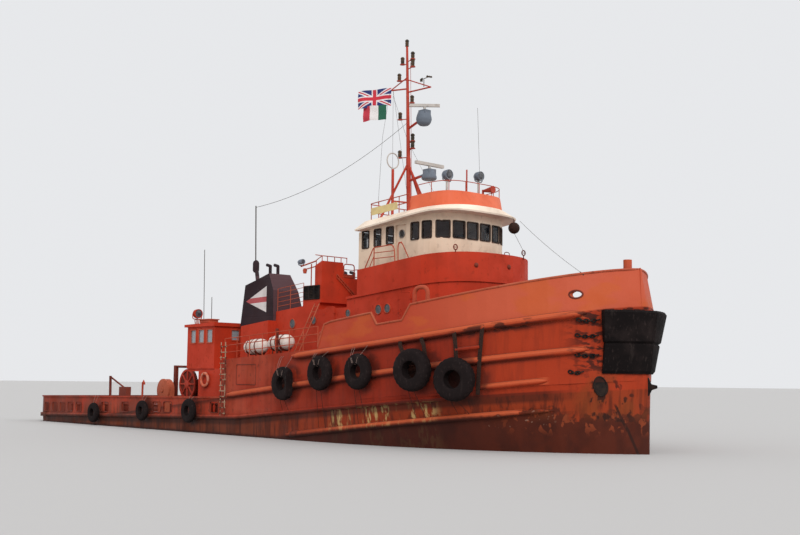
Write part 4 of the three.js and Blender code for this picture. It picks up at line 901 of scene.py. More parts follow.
railSet = {"house": (0.22, 0.42, 0.62, 0.82, 1.02), "raft": (0.3, 0.6, 0.9), "roof": (0.38, 0.72),
           "coaming": (0.40,)}
houseX, deckX = np.array([1.05, 2.95]), np.linspace(0.12, 6.75, 30)
house = xyz(houseX, -2.72, houseTopAt(houseX))
raftDeck = xyz(deckX, -(deckHalf(deckX) - 0.07), raisedDeckAt(deckX))
makePair("house_rails", [railing(house, railSet["house"], 0.95, 0.013, 0.016)], "lightRailPaint",
         "house_paint")
makePair("raft_deck_rails", [railing(raftDeck, railSet["raft"], 0.95, 0.019, 0.022)], "railPaint",
         "hull_paint")
roof = rounded([(8.95, -2.0), (6.42, -2.0), (6.42, 2.0), (8.95, 2.0)], 0.25)
front = frontOutline(9.25, 1.83, 1.66, 3.5, 44)
for name, path, height, gap, radius in (("roof", roof, roofTopAt(roof[:, 0]) - 0.01, 0.62, 0.020),
                                        ("coaming", front, coamingTopAt(front[:, 0]), 0.72, 0.017)):
    makePiece(f"{name}_rails", [railing(np.column_stack([path, height]), railSet[name], gap, radius, radius)],
              "railPaint", "hull_paint")

trunkRails = {
    "front": 4.245, "outer": 2.74, "inner": 1.36, "top": 7.715, "aft": 3.82, "aftTop": 7.54,
    "posts": (2.74, 2.45, 2.06, 1.70, 1.38), "radius": 0.019,
    "gate": {"y": (-1.54, -0.95), "top": 7.45, "bars": (7.21, 6.99)},
}


def trunkRailing():
    # A level rail over the front edge of each tower and one down its outer side, an open gate inboard
    look, gate = trunkRails, trunkRails["gate"]
    front, radius, outer, top = look["front"], look["radius"], -look["outer"], look["top"]
    left, right = gate["y"]
    towerTop = lambda x: 7.32 + (x - 3.80) * 0.383
    posts = np.array([(front, -y, towerTop(front)) for y in look["posts"]] + [(3.84, outer, towerTop(3.84))])
    heads = np.array([top] * len(look["posts"]) + [look["aftTop"]])
    gateLine = [(front, left, 6.85), (front, left, gate["top"]), (front, right, gate["top"]),
                (front, right, 6.62)]
    topLine = [(look["aft"], outer, look["aftTop"]), (front, outer, top), (front, -look["inner"], top)]
    shapes = [tube(rounded(topLine, 0.08), radius, 6),
              rods([front, outer - 0.36, top + 0.01], [front, outer, top], radius),
              rods(posts, np.column_stack([posts[:, :2], heads]), radius),
              tube(rounded(gateLine, 0.13, 6), radius * 1.25, 8),
              block((3.86, -1.56, 6.842), (4.24, -0.96, 7.0), 7)]
    shapes += [rods([front, left, z], [front, right, z], radius * 0.85) for z in gate["bars"]]
    shapes += [rods([front, right, z], [6.66, right, z - 0.06], radius) for z in (7.23, 6.90)]
    brace, drop = np.array([(front + 0.05, -1.97, 6.97), (front + 0.05, -0.95, 6.15)]), [0, 0, 0.13]
    shapes += [rods(brace[0], brace[1], 0.026), rods(brace[0] - drop, brace[1] - drop, 0.026)]
    return shapes + [rods(spaced(brace, 0.2), spaced(brace, 0.2) - drop, 0.014)]


makePair("trunk_rails", trunkRailing(), "railPaint", "house_paint")

bridgeGates = {
    "y": -2.80, "bars": (7.32, 7.55),
    "lines": [  # radius of the pipe, radius of its bends, then x and z along it
        (0.022, 0.12, [(7.16, 6.97), (7.68, 7.77), (8.80, 7.80), (8.95, 7.65), (8.99, 7.13)]),
        (0.024, 0.12, [(7.72, 7.02), (7.72, 7.78)]),
        (0.022, 0.15, [(9.18, 7.14), (9.16, 7.75), (9.28, 7.88), (9.42, 7.80), (9.78, 7.22)])],
}
gateY = bridgeGates["y"]
gateShapes = [tube(rounded([(x, gateY, z) for x, z in line], bend), radius, 6)
              for radius, bend, line in bridgeGates["lines"]]
gateShapes += [rods([7.72, gateY, z], [8.97, gateY, z], 0.018) for z in bridgeGates["bars"]]
gateShapes += [rods([7.45, gateY, 7.00], [7.70, gateY, 7.40], 0.018)]
makePair("bridge_gates", gateShapes, "railPaint", "house_paint")


def ladder(foot, head, across, width, gap, radius=0.02, rung=0.014, sides=6):
    foot, head, half = floats(foot), floats(head), floats(across) * width / 2
    steps = max(int(np.linalg.norm(head - foot) / gap), 1)
    middle = foot + (head - foot) * (np.arange(steps) + 0.5)[:, None] / steps
    return joined([rods([foot - half, foot + half], [head - half, head + half], radius, sides),
                   rods(middle - half, middle + half, rung, sides)])


makePair("steel_ladders", [ladder((4.12, -3.95, 3.50), (4.10, -2.86, 5.66), (1, 0, 0), 0.32, 0.25, 0.022),
                           ladder((2.93, -2.45, 5.62), (2.93, -2.45, 6.50), (0, 1, 0), 0.30, 0.25)],
         "lightRailPaint", "house_paint")
mastLadder = ladder((6.66, 0.24, 9.1), (6.50, 0.22, 16.3), (0.74, -0.66, 0), 0.20, 0.32, 0.008, 0.007)
makePiece("mast_ladder", [mastLadder], "mastPaint", "house_paint")

ropeLadder = {"x": 0.32, "width": 0.34, "top": 4.02, "bottom": 0.84, "gap": 0.24}
top, bottom, ladderY = ropeLadder["top"], ropeLadder["bottom"], -sideHalf(ropeLadder["x"], 2.0) - 0.14
edge = [ropeLadder["x"] + side * ropeLadder["width"] / 2 for side in (-1, 1)]
makePiece("rope_ladder_ropes", [rods([(x, ladderY, top) for x in edge],
                                     [(x + 0.03, ladderY, bottom) for x in edge], 0.022)],
          "spottedRope", "white_paint")
makePiece("rope_ladder_rungs", [
    block((edge[0] - 0.07, ladderY - 0.04, z - 0.02), (edge[1] + 0.09, ladderY + 0.04, z + 0.02), 5, (16, 7))
    for z in np.arange(bottom + 0.1, top, ropeLadder["gap"])], "spottedRope", "white_paint")
print("rails and ladders")


# Windows and portholes

def paneOn(x, y, heading, width, low, high, corner=0.055, out=0.012, border=0.024, deep=0.016):
    # A frame of a small section carried round a rounded rectangle in the wall's plane, and its glass
    h = np.radians(heading)
    normal, across = xyz(np.cos(h), np.sin(h), 0), xyz(-np.sin(h), np.cos(h), 0)
    centre = np.array([x, y, (low + high) / 2])
    ring = laid(roundedRectangle(width, high - low, corner), centre, across) + normal * out
    return (sweep(ring, fourCorners(border, deep), closed=True, upright=normal),
            plate(roundedRectangle(width - 0.02, high - low - 0.02, corner), centre - normal * 0.03, across,
                  (0, 0, 1), 0.008))


def makePanes(pairs, singles, *looks):
    # Frames as one piece and panes as the next: pairs stand on both sides, singles where they are
    for k, (name, paint, slot) in enumerate(looks):
        both = bothSides([pair[k] for pair in pairs]) if pairs else []
        makePiece(name, both + [single[k] for single in singles], paint, slot)


wheelWindows = [  # x, y, heading, width
    (6.48, -2.2, -90, 0.42), (7.24, -2.2, -90, 0.42), (8.01, -2.2, -90, 0.43), (9.49, -2.19, -87, 0.43),
    (10.06, -2.08, -69, 0.40), (10.56, -1.68, -38, 0.56), (10.83, -1.06, -11, 0.56),
    (10.895, -0.36, -2, 0.60),
]
makePanes([paneOn(*window, sillAt(window[0]), headAt(window[0])) for window in wheelWindows]
          + [paneOn(6.03, y, 180, 0.66, 7.8, 8.4) for y in (-1.5, -0.5)], [],
          ("wheelhouse_window_frames", "windowSeal", "rubber"),
          ("wheelhouse_glass", "windowGlass", "funnel_paint"))

cabinWindows = {  # x, sill and the panes' edges in y
    0: (-2.37, 4.22, [(-2.9, -2.45), (-0.9, -0.2), (0.2, 0.9), (2.45, 2.9)]),
    180: (-4.74, 3.94, [(-3.4, -2.7), (-2.4, -1.7), (-1.4, -0.7), (-0.35, 0.35), (2.5, 3.3)]),
}
makePanes([paneOn((a + b) / 2, -3.80, -90, b - a, 4.09, 4.72, 0.05)
           for a, b in ((-4.42, -3.96), (-3.73, -3.25), (-3.01, -2.52))],
          [paneOn(x, (a + b) / 2, heading, b - a, sill, 4.72, 0.05)
           for heading, (x, sill, edges) in cabinWindows.items() for a, b in edges],
          ("cabin_window_frames", "railPaint", "house_paint"),
          ("cabin_glass", "paleWindowGlass", "funnel_paint"))


def porthole(x, y, z, radius, normal=(0, -1, 0)):
    rim = [(radius, -0.01), (radius, 0.025), (radius + 0.012, 0.035), (radius + 0.030, 0.025),
           (radius + 0.034, 0.0), (radius + 0.034, -0.01)]
    pane = [(0, 0.016), (radius * 0.6, 0.014), (radius + 0.01, 0.008), (radius + 0.01, 0.002), (0, 0.002)]
    return lathe(rim, (x, y, z), normal, 28, closed=True), lathe(pane, (x, y, z), normal, 28)


portholes = [(2.26, 4.86, 0.19), (3.77, 4.97, 0.17), (6.08, 5.17, 0.15), (8.00, 5.25, 0.18),
             (8.54, 5.27, 0.17)]
# The panes take the dark glossy lens finish, painted shade of the unlit room behind
makePanes([porthole(x, -2.77, z, radius) for x, z, radius in portholes],
          [porthole(12.06, y, 5.25, 0.18, (1, 0, 0)) for y in (-0.9, 0.9)],
          ("porthole_rims", "railPaint", "house_paint"), ("porthole_glass", "lampLens", "funnel_paint"))
for side, name in ((-1, "starboard"), (1, "port")):
    rim, glass = porthole(8.645, side * 2.118, 8.31, 0.145, (0, side, 0))
    makePiece(f"door_port_{name}", [rim], "wornSteel", "deck_steel", f"wheelhouse_door_{name}")
    makePiece(f"door_port_glass_{name}", [glass], "windowGlass", "funnel_paint", f"wheelhouse_door_{name}")
print("windows")


# Mast gear

mastX = lambda z: 6.75 - 0.25 * (z - 8.9) / 8.25
lanterns = [(6.88, 16.02), (6.88, 16.36), (6.22, 16.25), (6.02, 15.55), (6.86, 14.42), (6.10, 13.80),
            (6.92, 12.72), (6.92, 12.40), (6.10, 12.10)]
lanternProfile = np.array([(0, 0), (0.09, 0), (0.09, 0.05), (0.07, 0.06), (0.085, 0.10), (0.085, 0.20),
                           (0.07, 0.24), (0.10, 0.25), (0.095, 0.29), (0.05, 0.34), (0, 0.35)])
makePiece("mast_lanterns", [lathe(lanternProfile * size, (x, 0, z), steps=16)
                            for x, z, size in [(x, z, 0.95) for x, z in lanterns] + [(6.5, 17.0, 0.9)]],
          "lanternHousing", "grey_paint")
makePiece("lantern_brackets", [rods([mastX(z), 0, z - 0.06], [x, 0, z - 0.01], 0.022) for x, z in lanterns]
          + [lathe([(0, -0.02), (0.12, -0.02), (0.12, 0), (0, 0)], (x, 0, z), steps=14) for x, z in lanterns],
          "mastPaint", "house_paint")

housings = {  # centre x, then radius and height up the side
    "lower": (7.97, [(0, 10.86), (0.26, 10.86), (0.33, 10.93), (0.32, 11.02), (0.25, 11.22),
                     (0.20, 11.30), (0, 11.31)]),
    "upper": (7.62, [(0, 13.28), (0.19, 13.28), (0.29, 13.38), (0.34, 13.54), (0.32, 13.68), (0.26, 13.86),
                     (0.15, 13.92), (0, 13.925)]),
}
makePiece("radar_housings", [lathe(rounded(profile, 0.04, 4), (x, 0, 0), steps=24)
                             for x, profile in housings.values()], "greyPaint", "grey_paint")
vane = [rods([7.6, 0, 14.98], [7.6, 0, 15.30], 0.018), rods([7.42, 0, 15.32], [7.9, 0, 15.36], 0.016),
        plate([(0, -0.06), (0.16, -0.09), (0.16, 0.09), (0, 0.06)], (7.36, 0.006, 15.31), (1, 0, 0),
              (0, 0, 1), 0.012)]
cup = [(0, -0.05), (0.05, -0.02), (0.05, 0.02), (0, 0.05)]
vane += [lathe(cup, (7.93 + 0.02 * k, 0.09 * k, 15.36), steps=10) for k in (-1, 0, 1)]
makePiece("wind_vane", vane, "lanternHousing", "grey_paint")

wires = {  # from, to, how far the middle sags, radius
    "stay": ((12.20, 1.0, 8.80), (17.617, -1.812, 6.12), 0.09, 0.007),
    "aerial": ((-1.52, -2.24, 10.5), (6.61, 0, 13.6), 0.55, 0.010),
    "halyards": [((5.10, 0.46, 15.14), (5.80, 0.75, 12.97)), ((5.80, 0.75, 12.97), (6.95, 1.95, 9.74)),
                 ((5.47, -0.05, 15.18), (5.80, -0.75, 12.97)), ((5.80, -0.75, 12.97), (6.95, -1.95, 9.74)),
                 ((5.62, 0, 15.20), (6.20, -0.50, 9.82)), ((5.62, 0, 15.20), (6.20, 0.50, 9.82))],
    "whips": [((-1.45, -2.24, 7.9), (-1.54, -2.24, 10.57), 0.028),
              ((-4.30, -3.2, 5.2), (-4.40, -3.2, 8.63), 0.016),
              ((-3.62, -3.2, 5.15), (-3.64, -3.2, 6.3), 0.016),
              ((10.33, 0.62, 10.92), (10.30, 0.52, 13.66), 0.006)],
}


def hangingWire(start, end, sag):
    # A shallow parabola: p(s) = a + (b - a) s - sag 4 s (1 - s)
    s = np.linspace(0, 1, 24)[:, None]
    return floats(start) + (floats(end) - floats(start)) * s - [0, 0, sag] * (4 * s * (1 - s))


*stayRun, stayRadius = wires["stay"]
stay = hangingWire(*stayRun)
makePiece("stays", [tube(stay, stayRadius, 6), tube(stay[-2:], 0.018, 8),
                    lathe([(0, -0.05), (0.03, -0.03), (0.03, 0.03), (0, 0.05)], stay[-1], steps=12)],
          "wireRope", "deck_steel")
makePiece("halyards", [rods(*zip(*wires["halyards"]), 0.006)], "wireRope", "deck_steel")
*aerialRun, aerialRadius = wires["aerial"]
makePiece("aerial_wire", [tube(hangingWire(*aerialRun), aerialRadius, 6)], "wireRope", "deck_steel")
makePiece("whip_aerials", [tube([a, b], r, 8) for a, b, r in wires["whips"]], "wireRope", "deck_steel")
print("mast gear")


# Lamps, horns and vents

def lampHead(x, y, z, radius):
    bezel = [(radius - 0.02, 0.10), (radius - 0.01, 0.15), (radius + 0.02, 0.16), (radius + 0.025, 0.10),
             (radius + 0.01, -0.08), (radius * 0.7, -0.17), (0, -0.20), (0, -0.16), (radius * 0.6, -0.12)]
    lens = [(0, 0.155), (radius * 0.5, 0.15), (radius, 0.12), (radius, 0.10), (0, 0.10)]
    left, right, low = y - radius - 0.05, y + radius + 0.05, z - radius - 0.06
    yoke = tube(rounded([(x, left, z), (x, left, low), (x, right, low), (x, right, z)], 0.1), 0.022, 6)
    return (joined([lathe(bezel, (x, y, z), (1, 0, 0), 24, closed=True), yoke]),
            lathe(lens, (x, y, z), (1, 0, 0), 24))


lampPlaces = [(10.27, -1.2, 10.63, 0.185), (10.38, 0.5, 10.78, 0.168), (-4.91, -3.2, 5.55, 0.20),
              (2.72, -2.72, 7.56, 0.095)]
makePanes([], [lampHead(*at) for at in lampPlaces], ("lamp_bodies", "lampHeads", "grey_paint"),
          ("lamp_lenses", "lampLens", "funnel_paint"))
lampArms = [
    rods([(2.72, -2.72, 7.36), (-4.91, -3.2, 5.06)], [(3.84, -2.74, 7.52), (-4.91, -3.2, 5.34)], 0.032, 8),
    rods([(2.86, -2.68, 7.20), (3.45, -2.70, 6.48)], [(3.84, -2.70, 7.30), (3.45, -2.70, 7.42)], 0.026, 8),
    lathe([(0, -0.12), (0.07, -0.12), (0.10, 0.02), (0.06, 0.10), (0, 0.10)], (2.96, -2.68, 7.16), steps=14),
    tube(rounded([(-5.05, -3.2, 5.05), (-5.12, -3.2, 5.28), (-4.74, -3.2, 5.28), (-4.78, -3.2, 5.05)], 0.08),
         0.022, 6),
]
makePiece("lamp_arms", lampArms, "railPaint", "house_paint")

ringLamps = {
    "rings": [(11.66, -2.078, 7.53, 7.34), (11.95, 1.493, 7.58, 7.30)],  # x, y, height of the ring, foot
    "radius": 0.10,
    "arch": [(12.09, 0.21, 7.32), (12.09, 0.21, 7.50), (12.09, 0.50, 7.50), (12.09, 0.50, 7.32)],
    "bosses": [(12.002, -1.277, 6.876), (12.112, 0.450, 6.924)],
}
ringShapes = [tube(rounded(ringLamps["arch"], 0.12), 0.016, 6)]
for x, y, z, foot in ringLamps["rings"]:
    rim = circle(ringLamps["radius"], 20)
    ringShapes += [hoop(xyz(x, y + rim[:, 0], z + rim[:, 1]), 0.024),
                   rods([x, y, foot], [x, y, z - 0.08], 0.020),
                   rods([x, y - 0.09, z], [x, y + 0.09, z], 0.014)]
boss = [(0, 0.06), (0.05, 0.055), (0.09, 0.02), (0.10, -0.02), (0, -0.02)]
ringShapes += [lathe(boss, at, (1, 0.02, 0), 18) for at in ringLamps["bosses"]]
makePiece("bridge_ring_lamps", ringShapes, "gearPaint", "house_paint")

dayBall = {"at": (11.431, 1.5, 8.643), "radius": 0.235}
ballX, ballY, _ = dayBall["at"]
u = np.linspace(-np.pi / 2, np.pi / 2, 15)
ball = np.stack([np.cos(u), np.sin(u)], -1) * dayBall["radius"]
makePiece("day_ball", [lathe(ball, dayBall["at"], steps=24),
                       rods([ballX, ballY, 8.84], [ballX - 0.06, ballY, 9.09], 0.010),
                       rods([ballX, ballY, 8.45], [11.93, 1.493, 7.68], 0.007)], "darkRope", "funnel_paint")


def swanNeck(x, y, foot, top, radius):
    over = x + radius * 3.2
    path = [(x, y, foot), (x, y, top), (over, y, top), (over, y, top - radius * 2.4)]
    return tube(rounded(path, radius * 1.6), radius, 12)


arch = rounded([(11.62, -4.15, 4.1), (11.62, -4.15, 5.84), (12.30, -4.13, 5.84), (12.30, -4.13, 5.30)],
               0.30, 8)
makePair("vent_pipes", [tube(arch, 0.08, 12), swanNeck(-8.72, -3.9, 0.75, 2.22, 0.05),
                        swanNeck(-12.4, -4.1, 0.6, 1.35, 0.06), swanNeck(6.2, -4.3, 3.5, 4.3, 0.07)],
         "railPaint", "hull_paint")
makePiece("cabin_roof_box", [block((-4.10, -3.60, 5.04), (-3.20, -3.05, 5.20), 9),
                             block((-4.14, -3.64, 5.19), (-3.16, -3.01, 5.24), 12)],
          "railPaint", "house_paint")
silencer = [(0, 7.40), (0.10, 7.40), (0.15, 7.50), (0.15, 7.84), (0.12, 7.92), (0.05, 7.98), (0, 7.98)]
makePair("funnel_silencer", [lathe(silencer, (-1.42, -2.24, 0), steps=20)], "funnelPaint", "funnel_paint")

rafts = {
    "shells": [(1.02, 2.44, 3.79), (2.82, 4.28, 3.93)],  # aft and fore end, height of the axis at its aft end
    "y": -4.30, "radius": 0.325, "slope": 0.045, "bands": (0.28, 0.5, 0.72), "cradle": 0.345,
    "post": (3.80, -4.70, 3.30, 4.54), "postRadius": 0.072,
}


def raftShell(aft, fore, z):
    # A canister of superellipse profile: r = R (1 - |s|^5)^(1/2.2), with a step at its joint and bands
    radius, length = rafts["radius"], fore - aft
    s = np.sin(np.linspace(-np.pi / 2, np.pi / 2, 40))
    r = radius * (1 - np.abs(s) ** 5).clip(0) ** (1 / 2.2) * (1 + 0.03 * (np.abs(s) < 0.05))
    centre, axis = np.array([(aft + fore) / 2, rafts["y"], z + 0.03]), np.array([1, 0, rafts["slope"]])
    band = [(radius * 0.97, -0.03), (radius + 0.012, -0.03), (radius + 0.012, 0.03), (radius * 0.97, 0.03)]
    return (lathe(np.stack([r, s * length / 2], -1), centre, axis, 32),
            joined(lathe(band, centre + axis * (share - 0.5) * length, axis, 32, closed=True)
                   for share in rafts["bands"]))


shells, bands = zip(*[raftShell(*values) for values in rafts["shells"]])
makePair("raft_shells", shells, "raftShell", "raft_shell",
         replaces=["life_rafts_starboard", "life_rafts_port"])
makePair("raft_bands", bands, "gearPaint", "deck_steel")
postX, postY, postFoot, postTop = rafts["post"]
postR = rafts["postRadius"]
rack = [lathe([(0, postFoot), (postR, postFoot), (postR, postTop - 0.02), (0, postTop)], (postX, postY, 0),
              steps=16)]
u = np.linspace(-0.80 * np.pi, -0.20 * np.pi, 14)
feetY = rafts["y"] + np.array([-0.2, 0.2])
for aft, fore, z in rafts["shells"]:
    for x in (aft + 0.40, fore - 0.40):
        cradle = xyz(x, rafts["y"] + rafts["cradle"] * np.cos(u), z + 0.03 + rafts["cradle"] * np.sin(u))
        rack += [sweep(cradle, fourCorners(0.02, 0.05), upright=(1, 0, 0)),
                 rods(xyz(x, feetY, raisedDeckAt(x)), xyz(x, feetY, z - 0.24), 0.03)]
makePair("raft_racks", rack, "gearPaint", "hull_paint", crease=30)

winch = {"x": -6.51, "z": 2.15, "barrel": 0.33, "half": 1.26, "wire": 0.028, "wheelY": 2.66, "wheel": 0.74,
         "spokes": 8}
wire, wheel, coilR = winch["wire"], winch["wheel"], winch["barrel"] + 0.025
u = np.linspace(0, 2 * np.pi * winch["half"] / wire * 0.98, 1100)
coil = xyz(winch["x"] + coilR * np.cos(u), winch["half"] * (u / u[-1] * 2 - 1),
           winch["z"] + coilR * np.sin(u))
makePiece("winch_wire", [sweep(coil, circle(wire, 5), upright=(0, 1, 0))], "wireRope", "deck_steel",
          "winch_drum")
spoke = xyz(np.cos(turn(winch["spokes"])), 0, np.sin(turn(winch["spokes"])))
wheelRim = [(wheel - 0.10, -0.03), (wheel - 0.10, 0.03), (wheel, 0.03), (wheel, -0.03)]
wheelHub = [(0, -0.05), (0.20, -0.05), (0.20, 0.05), (0.14, 0.07), (0, 0.07)]
wheelShapes = []
for side in (-1, 1):
    hub = np.array([winch["x"], side * winch["wheelY"], winch["z"]])
    wheelShapes += [lathe(wheelRim, hub, (0, 1, 0), 48, closed=True), lathe(wheelHub, hub, (0, side, 0), 24),
                    rods(hub + spoke * 0.15, hub + spoke * (wheel - 0.05), 0.045, 8)]
makePiece("winch_wheels", wheelShapes, "mastPaint", "deck_steel", "winch_drum")
guide = [(0, 0.0), (0.50, 0.0), (0.57, 0.02), (0.57, 0.09), (0.50, 0.11), (0.12, 0.11), (0.10, 0.15),
         (0, 0.15)]
makePiece("tow_guide_disc", [lathe(guide, (-7.90, -3.14, 1.83), (0, -1, 0), 40)], "lightRailPaint",
          "deck_steel")

deckGear = {
    "bollards": [(-16.4, 3.7), (-12.2, 4.15), (-9.6, 4.15), (-1.4, 4.35), (13.6, 3.3), (16.5, 1.9)],
    "mushrooms": [(13.4, 1.6), (14.4, -1.4), (-10.4, 1.9)], "hatch": (-12.6, 0.85, 0.32),
    "doors": [(-0.9, 3.765, 90), (-3.765, -1.0, 180), (4.9, 2.785, 90), (9.6, 2.785, 90)],
}


def deckUnder(x):
    return aftDeckAt(x) if x < 0 else raisedDeckAt(x)


def spunUp(profile, foot, x, y, steps):
    return lathe([(r, foot + h) for r, h in profile], (x, y, 0), steps=steps)


bollardProfile = [(0.10, 0), (0.10, 0.34), (0.135, 0.37), (0.135, 0.43), (0.11, 0.46), (0, 0.46)]
mushroomProfile = [(0.12, 0), (0.12, 0.42), (0.25, 0.42), (0.24, 0.50), (0.12, 0.57), (0, 0.58)]


def bollardPair(x, y):
    foot = deckUnder(x)
    heads = [spunUp(bollardProfile, foot, x + shift, y, 18) for shift in (-0.28, 0.28)]
    return joined([*heads, block((x - 0.5, y - 0.17, foot - 0.05), (x + 0.5, y + 0.17, foot + 0.05), 14)])


def steelDoor(x, y, heading):
    # A raised panel with rounded corners, six clips round its edge and a grab rail
    h = np.radians(heading)
    out, along = xyz(np.cos(h), np.sin(h), 0), xyz(-np.sin(h), np.cos(h), 0)
    middle = np.array([x, y, (deckUnder(x) + 0.30 if x < 5 and abs(y) > 3 else houseTopAt(x) - 1.85) + 0.80])
    clips = laid([(a, b) for a in (-0.34, 0.34) for b in (-0.5, 0.0, 0.5)], middle + out * 0.035, along)
    grip = [middle + out * reach + along * 0.2 + [0, 0, z]
            for reach, z in ((0.02, -0.1), (0.09, -0.1), (0.09, 0.1), (0.02, 0.1))]
    return joined([plate(roundedRectangle(0.64, 1.50, 0.15), middle, along, (0, 0, 1), 0.03),
                   hoop(laid(roundedRectangle(0.68, 1.54, 0.16), middle, along), 0.022),
                   rods(clips - along * 0.07, clips + along * 0.07, 0.016),
                   tube(rounded(grip, 0.03), 0.012, 6)])


makePair("bollards", [bollardPair(*at) for at in deckGear["bollards"]], "gearPaint", "deck_steel")
makePiece("mushroom_vents", [spunUp(mushroomProfile, deckUnder(x), x, y, 22)
                             for x, y in deckGear["mushrooms"]], "railPaint", "hull_paint")
hatchX, half, high = deckGear["hatch"]
foot, lid = deckUnder(hatchX), half + 0.05
makePiece("deck_hatch", [
    block((hatchX - half, -half, foot - 0.1), (hatchX + half, half, foot + high), 20),
    block((hatchX - lid, -lid, foot + high - 0.02), (hatchX + lid, lid, foot + high + 0.06), 20)],
    "gearPaint", "deck_steel")
makePair("steel_doors", [steelDoor(*at) for at in deckGear["doors"]], "housePaint", "house_paint")

lifebuoy = {"x": -3.05, "y": -3.85, "z": 2.38, "ring": 0.29, "thick": 0.07, "deep": 0.055}
u, v = turn(36)[:, None], turn(12)[None]
ringR = lifebuoy["ring"] + lifebuoy["thick"] * np.cos(v)
ring = xyz(lifebuoy["x"] + ringR * np.cos(u), lifebuoy["y"] + lifebuoy["deep"] * np.sin(v),
           lifebuoy["z"] + ringR * np.sin(u))
makePair("lifebuoy", [grid(ring, roundU=True, roundV=True)], "lifebuoyOrange", "raft_shell")

louvre = {"x": (3.06, 4.16), "y": -2.775, "z": (5.88, 6.44), "bays": 3, "slats": 8, "edge": 0.028}
low, high = louvre["z"]
bayX = np.linspace(*louvre["x"], louvre["bays"] + 1)
slat = [(-0.012, 0), (0.03, -0.028), (0.036, -0.02), (-0.006, 0.010)]
# The slats and a plate behind them are near-black, painted shade of the vent
backing = roundedRectangle(1.14, 0.60, 0.02)
slats, louvreFrame = [], [plate(backing, (3.61, louvre["y"] - 0.004, 6.16), (1, 0, 0), (0, 0, 1), 0.004)]
for left, right in zip(bayX[:-1], bayX[1:]):
    slats += [plate(slat, (left + 0.03, louvre["y"], z), (0, -1, 0), (0, 0, 1), -(right - left - 0.06))
              for z in np.linspace(low + 0.05, high - 0.04, louvre["slats"])]
    middle = ((left + right) / 2, louvre["y"] - 0.02, (low + high) / 2)
    bay = laid(roundedRectangle(right - left - 0.03, high - low, 0.03), middle, (1, 0, 0))
    louvreFrame.append(hoop(bay, louvre["edge"]))
makePair("louvre_slats", slats, "darkRecess", "funnel_paint")
makePair("louvre_box_skin", louvreFrame, "darkRecess", "funnel_paint")
makePair("blank_name_board", [plate(roundedRectangle(1.62, 0.30, 0.03), (7.48, -2.06, 9.47), (1, 0, 0.06),
                                    (-0.06, 0, 1), 0.025)], "paleBoard", "cream_paint")
print("lamps and vents")


# Flags, as cloth in the wind

flagSet = {
    "toward": (-0.84, -0.54), "rows": 21, "columns": 49,
    "union_flag": {"corner": (5.55, -0.05, 15.32), "drop": 0.80, "fly": 1.60, "wave": 0.10, "phase": 0.4,
                   "sag": 0.10},
    "tricolour_flag": {"corner": (5.40, -0.20, 14.56), "drop": 0.66, "fly": 1.15, "wave": 0.09, "phase": 2.2,
                       "sag": 0.05},
}


def flagShape(look):
    # The foot of the wave is a sine of growing height along the fly, resampled to even cloth length
    s = np.linspace(0, 1, 400)
    ahead = unit(np.array([*flagSet["toward"], 0.0]))
    side = np.array([-ahead[1], ahead[0], 0])
    wave = look["wave"] * s ** 0.7 * np.sin(9.5 * s + look["phase"])
    line = (ahead * s[:, None] * look["fly"] + side * wave[:, None]
            + [0, 0, -look["sag"]] * (s ** 1.5)[:, None])
    reach = np.concatenate([[0], np.cumsum(np.linalg.norm(np.diff(line, axis=0), axis=1))])
    at = np.linspace(0, look["fly"], flagSet["columns"])
    line = np.stack([np.interp(at, reach, line[:, k]) for k in range(3)], -1)
    v = np.linspace(0, 1, flagSet["rows"])[None, :, None]
    ripple = side * (0.03 * np.sin(7 * v + at[:, None, None] * 3) * (at / look["fly"])[:, None, None])
    return np.array(look["corner"]) + line[:, None] + [0, 0, -look["drop"]] * v + ripple


def clothFinish(name, colour):
    finish = Finish(name)
    flag = finish.node("ShaderNodeUVMap", {"uv_map": "cloth"})
    across, up = finish.split(flag, 0), finish.split(flag, 1)
    weave = (across * 900).math("SINE") * (up * 500).math("SINE")
    finish.done(colour(finish, across, up), 0.8, height=weave, depth=0.001)


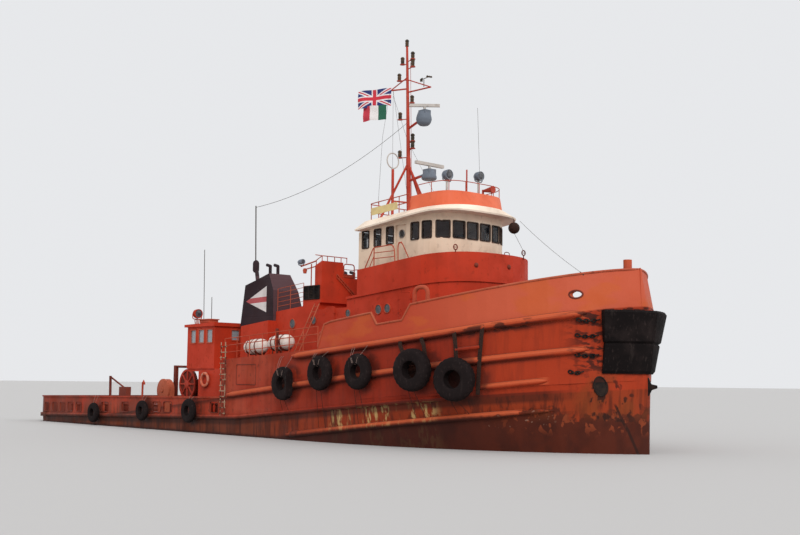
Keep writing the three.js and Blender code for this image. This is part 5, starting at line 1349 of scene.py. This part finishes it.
def unionColours(finish, across, up):
    # Saltires and crosses by distance from the diagonals and the middle lines of a 2:1 flag
    x, y = (across - 0.5) * 2.0, up - 0.5
    saltire = (abs(y - x * 0.5) * 0.894).least(abs(y + x * 0.5) * 0.894)
    cross = abs(x).least(abs(y))
    white = (0.74, 0.70, 0.70)
    return finish.layers((0.035, 0.045, 0.16), (saltire < 0.095, white),
                         (saltire < 0.034, (0.52, 0.04, 0.06)),
                         (cross < 0.165, white), (cross < 0.10, (0.55, 0.04, 0.06)))


def tricolourColours(finish, across, up):
    return finish.layers((0.03, 0.12, 0.075), (across > 0.333, (0.72, 0.68, 0.66)),
                         (across > 0.667, (0.50, 0.05, 0.07)))


for name, colours in (("union_flag", unionColours), ("tricolour_flag", tricolourColours)):
    look = flagSet[name]
    clothFinish(name + "_cloth", colours)
    flag = makePiece(name, [grid(flagShape(look))], name + "_cloth", "raft_shell")
    cloth = flag.data.uv_layers.new(name="cloth")
    corner = np.zeros(len(flag.data.loops), np.int32)
    flag.data.loops.foreach_get("vertex_index", corner)
    column, row = np.divmod(corner, flagSet["rows"])
    table = np.stack([column / (flagSet["columns"] - 1), 1 - row / (flagSet["rows"] - 1)], -1)
    cloth.data.foreach_set("uv", table.ravel().astype(np.float32))
print("flags")


# Floor and light

floorMesh = bpy.data.meshes.new("floor")
rings = np.array(studio["floorRings"], float)[:, None]
floorPoints, floorFaces = grid(xyz(rings * np.cos(turn(64)), rings * np.sin(turn(64)), 0), roundV=True)
floorMesh.from_pydata(floorPoints.tolist(), [], floorFaces[0].tolist())
floor = bpy.data.objects.new("floor", floorMesh)
scene.collection.objects.link(floor)
floorMesh.materials.append(Finish("floorPaint").done(studio["floor"], 0.9))

scene.world = scene.world or bpy.data.worlds.new("sky")
scene.world.use_nodes = True
sky = scene.world.node_tree.nodes["Background"]
sky.inputs[0].default_value = (*studio["sky"], 1)
sky.inputs[1].default_value = studio["skyStrength"]
for name in ("key", "fill"):
    look = studio[name]
    lamp = bpy.data.lights.new(name, "SUN")
    lamp.energy, lamp.angle = look["energy"], np.radians(look["angle"])
    lampObject = bpy.data.objects.new(name, lamp)
    lampObject.rotation_mode = "QUATERNION"
    lampObject.rotation_quaternion = Vector(look["toward"]).to_track_quat("-Z", "Y")
    scene.collection.objects.link(lampObject)
scene.view_settings.view_transform = "Standard"
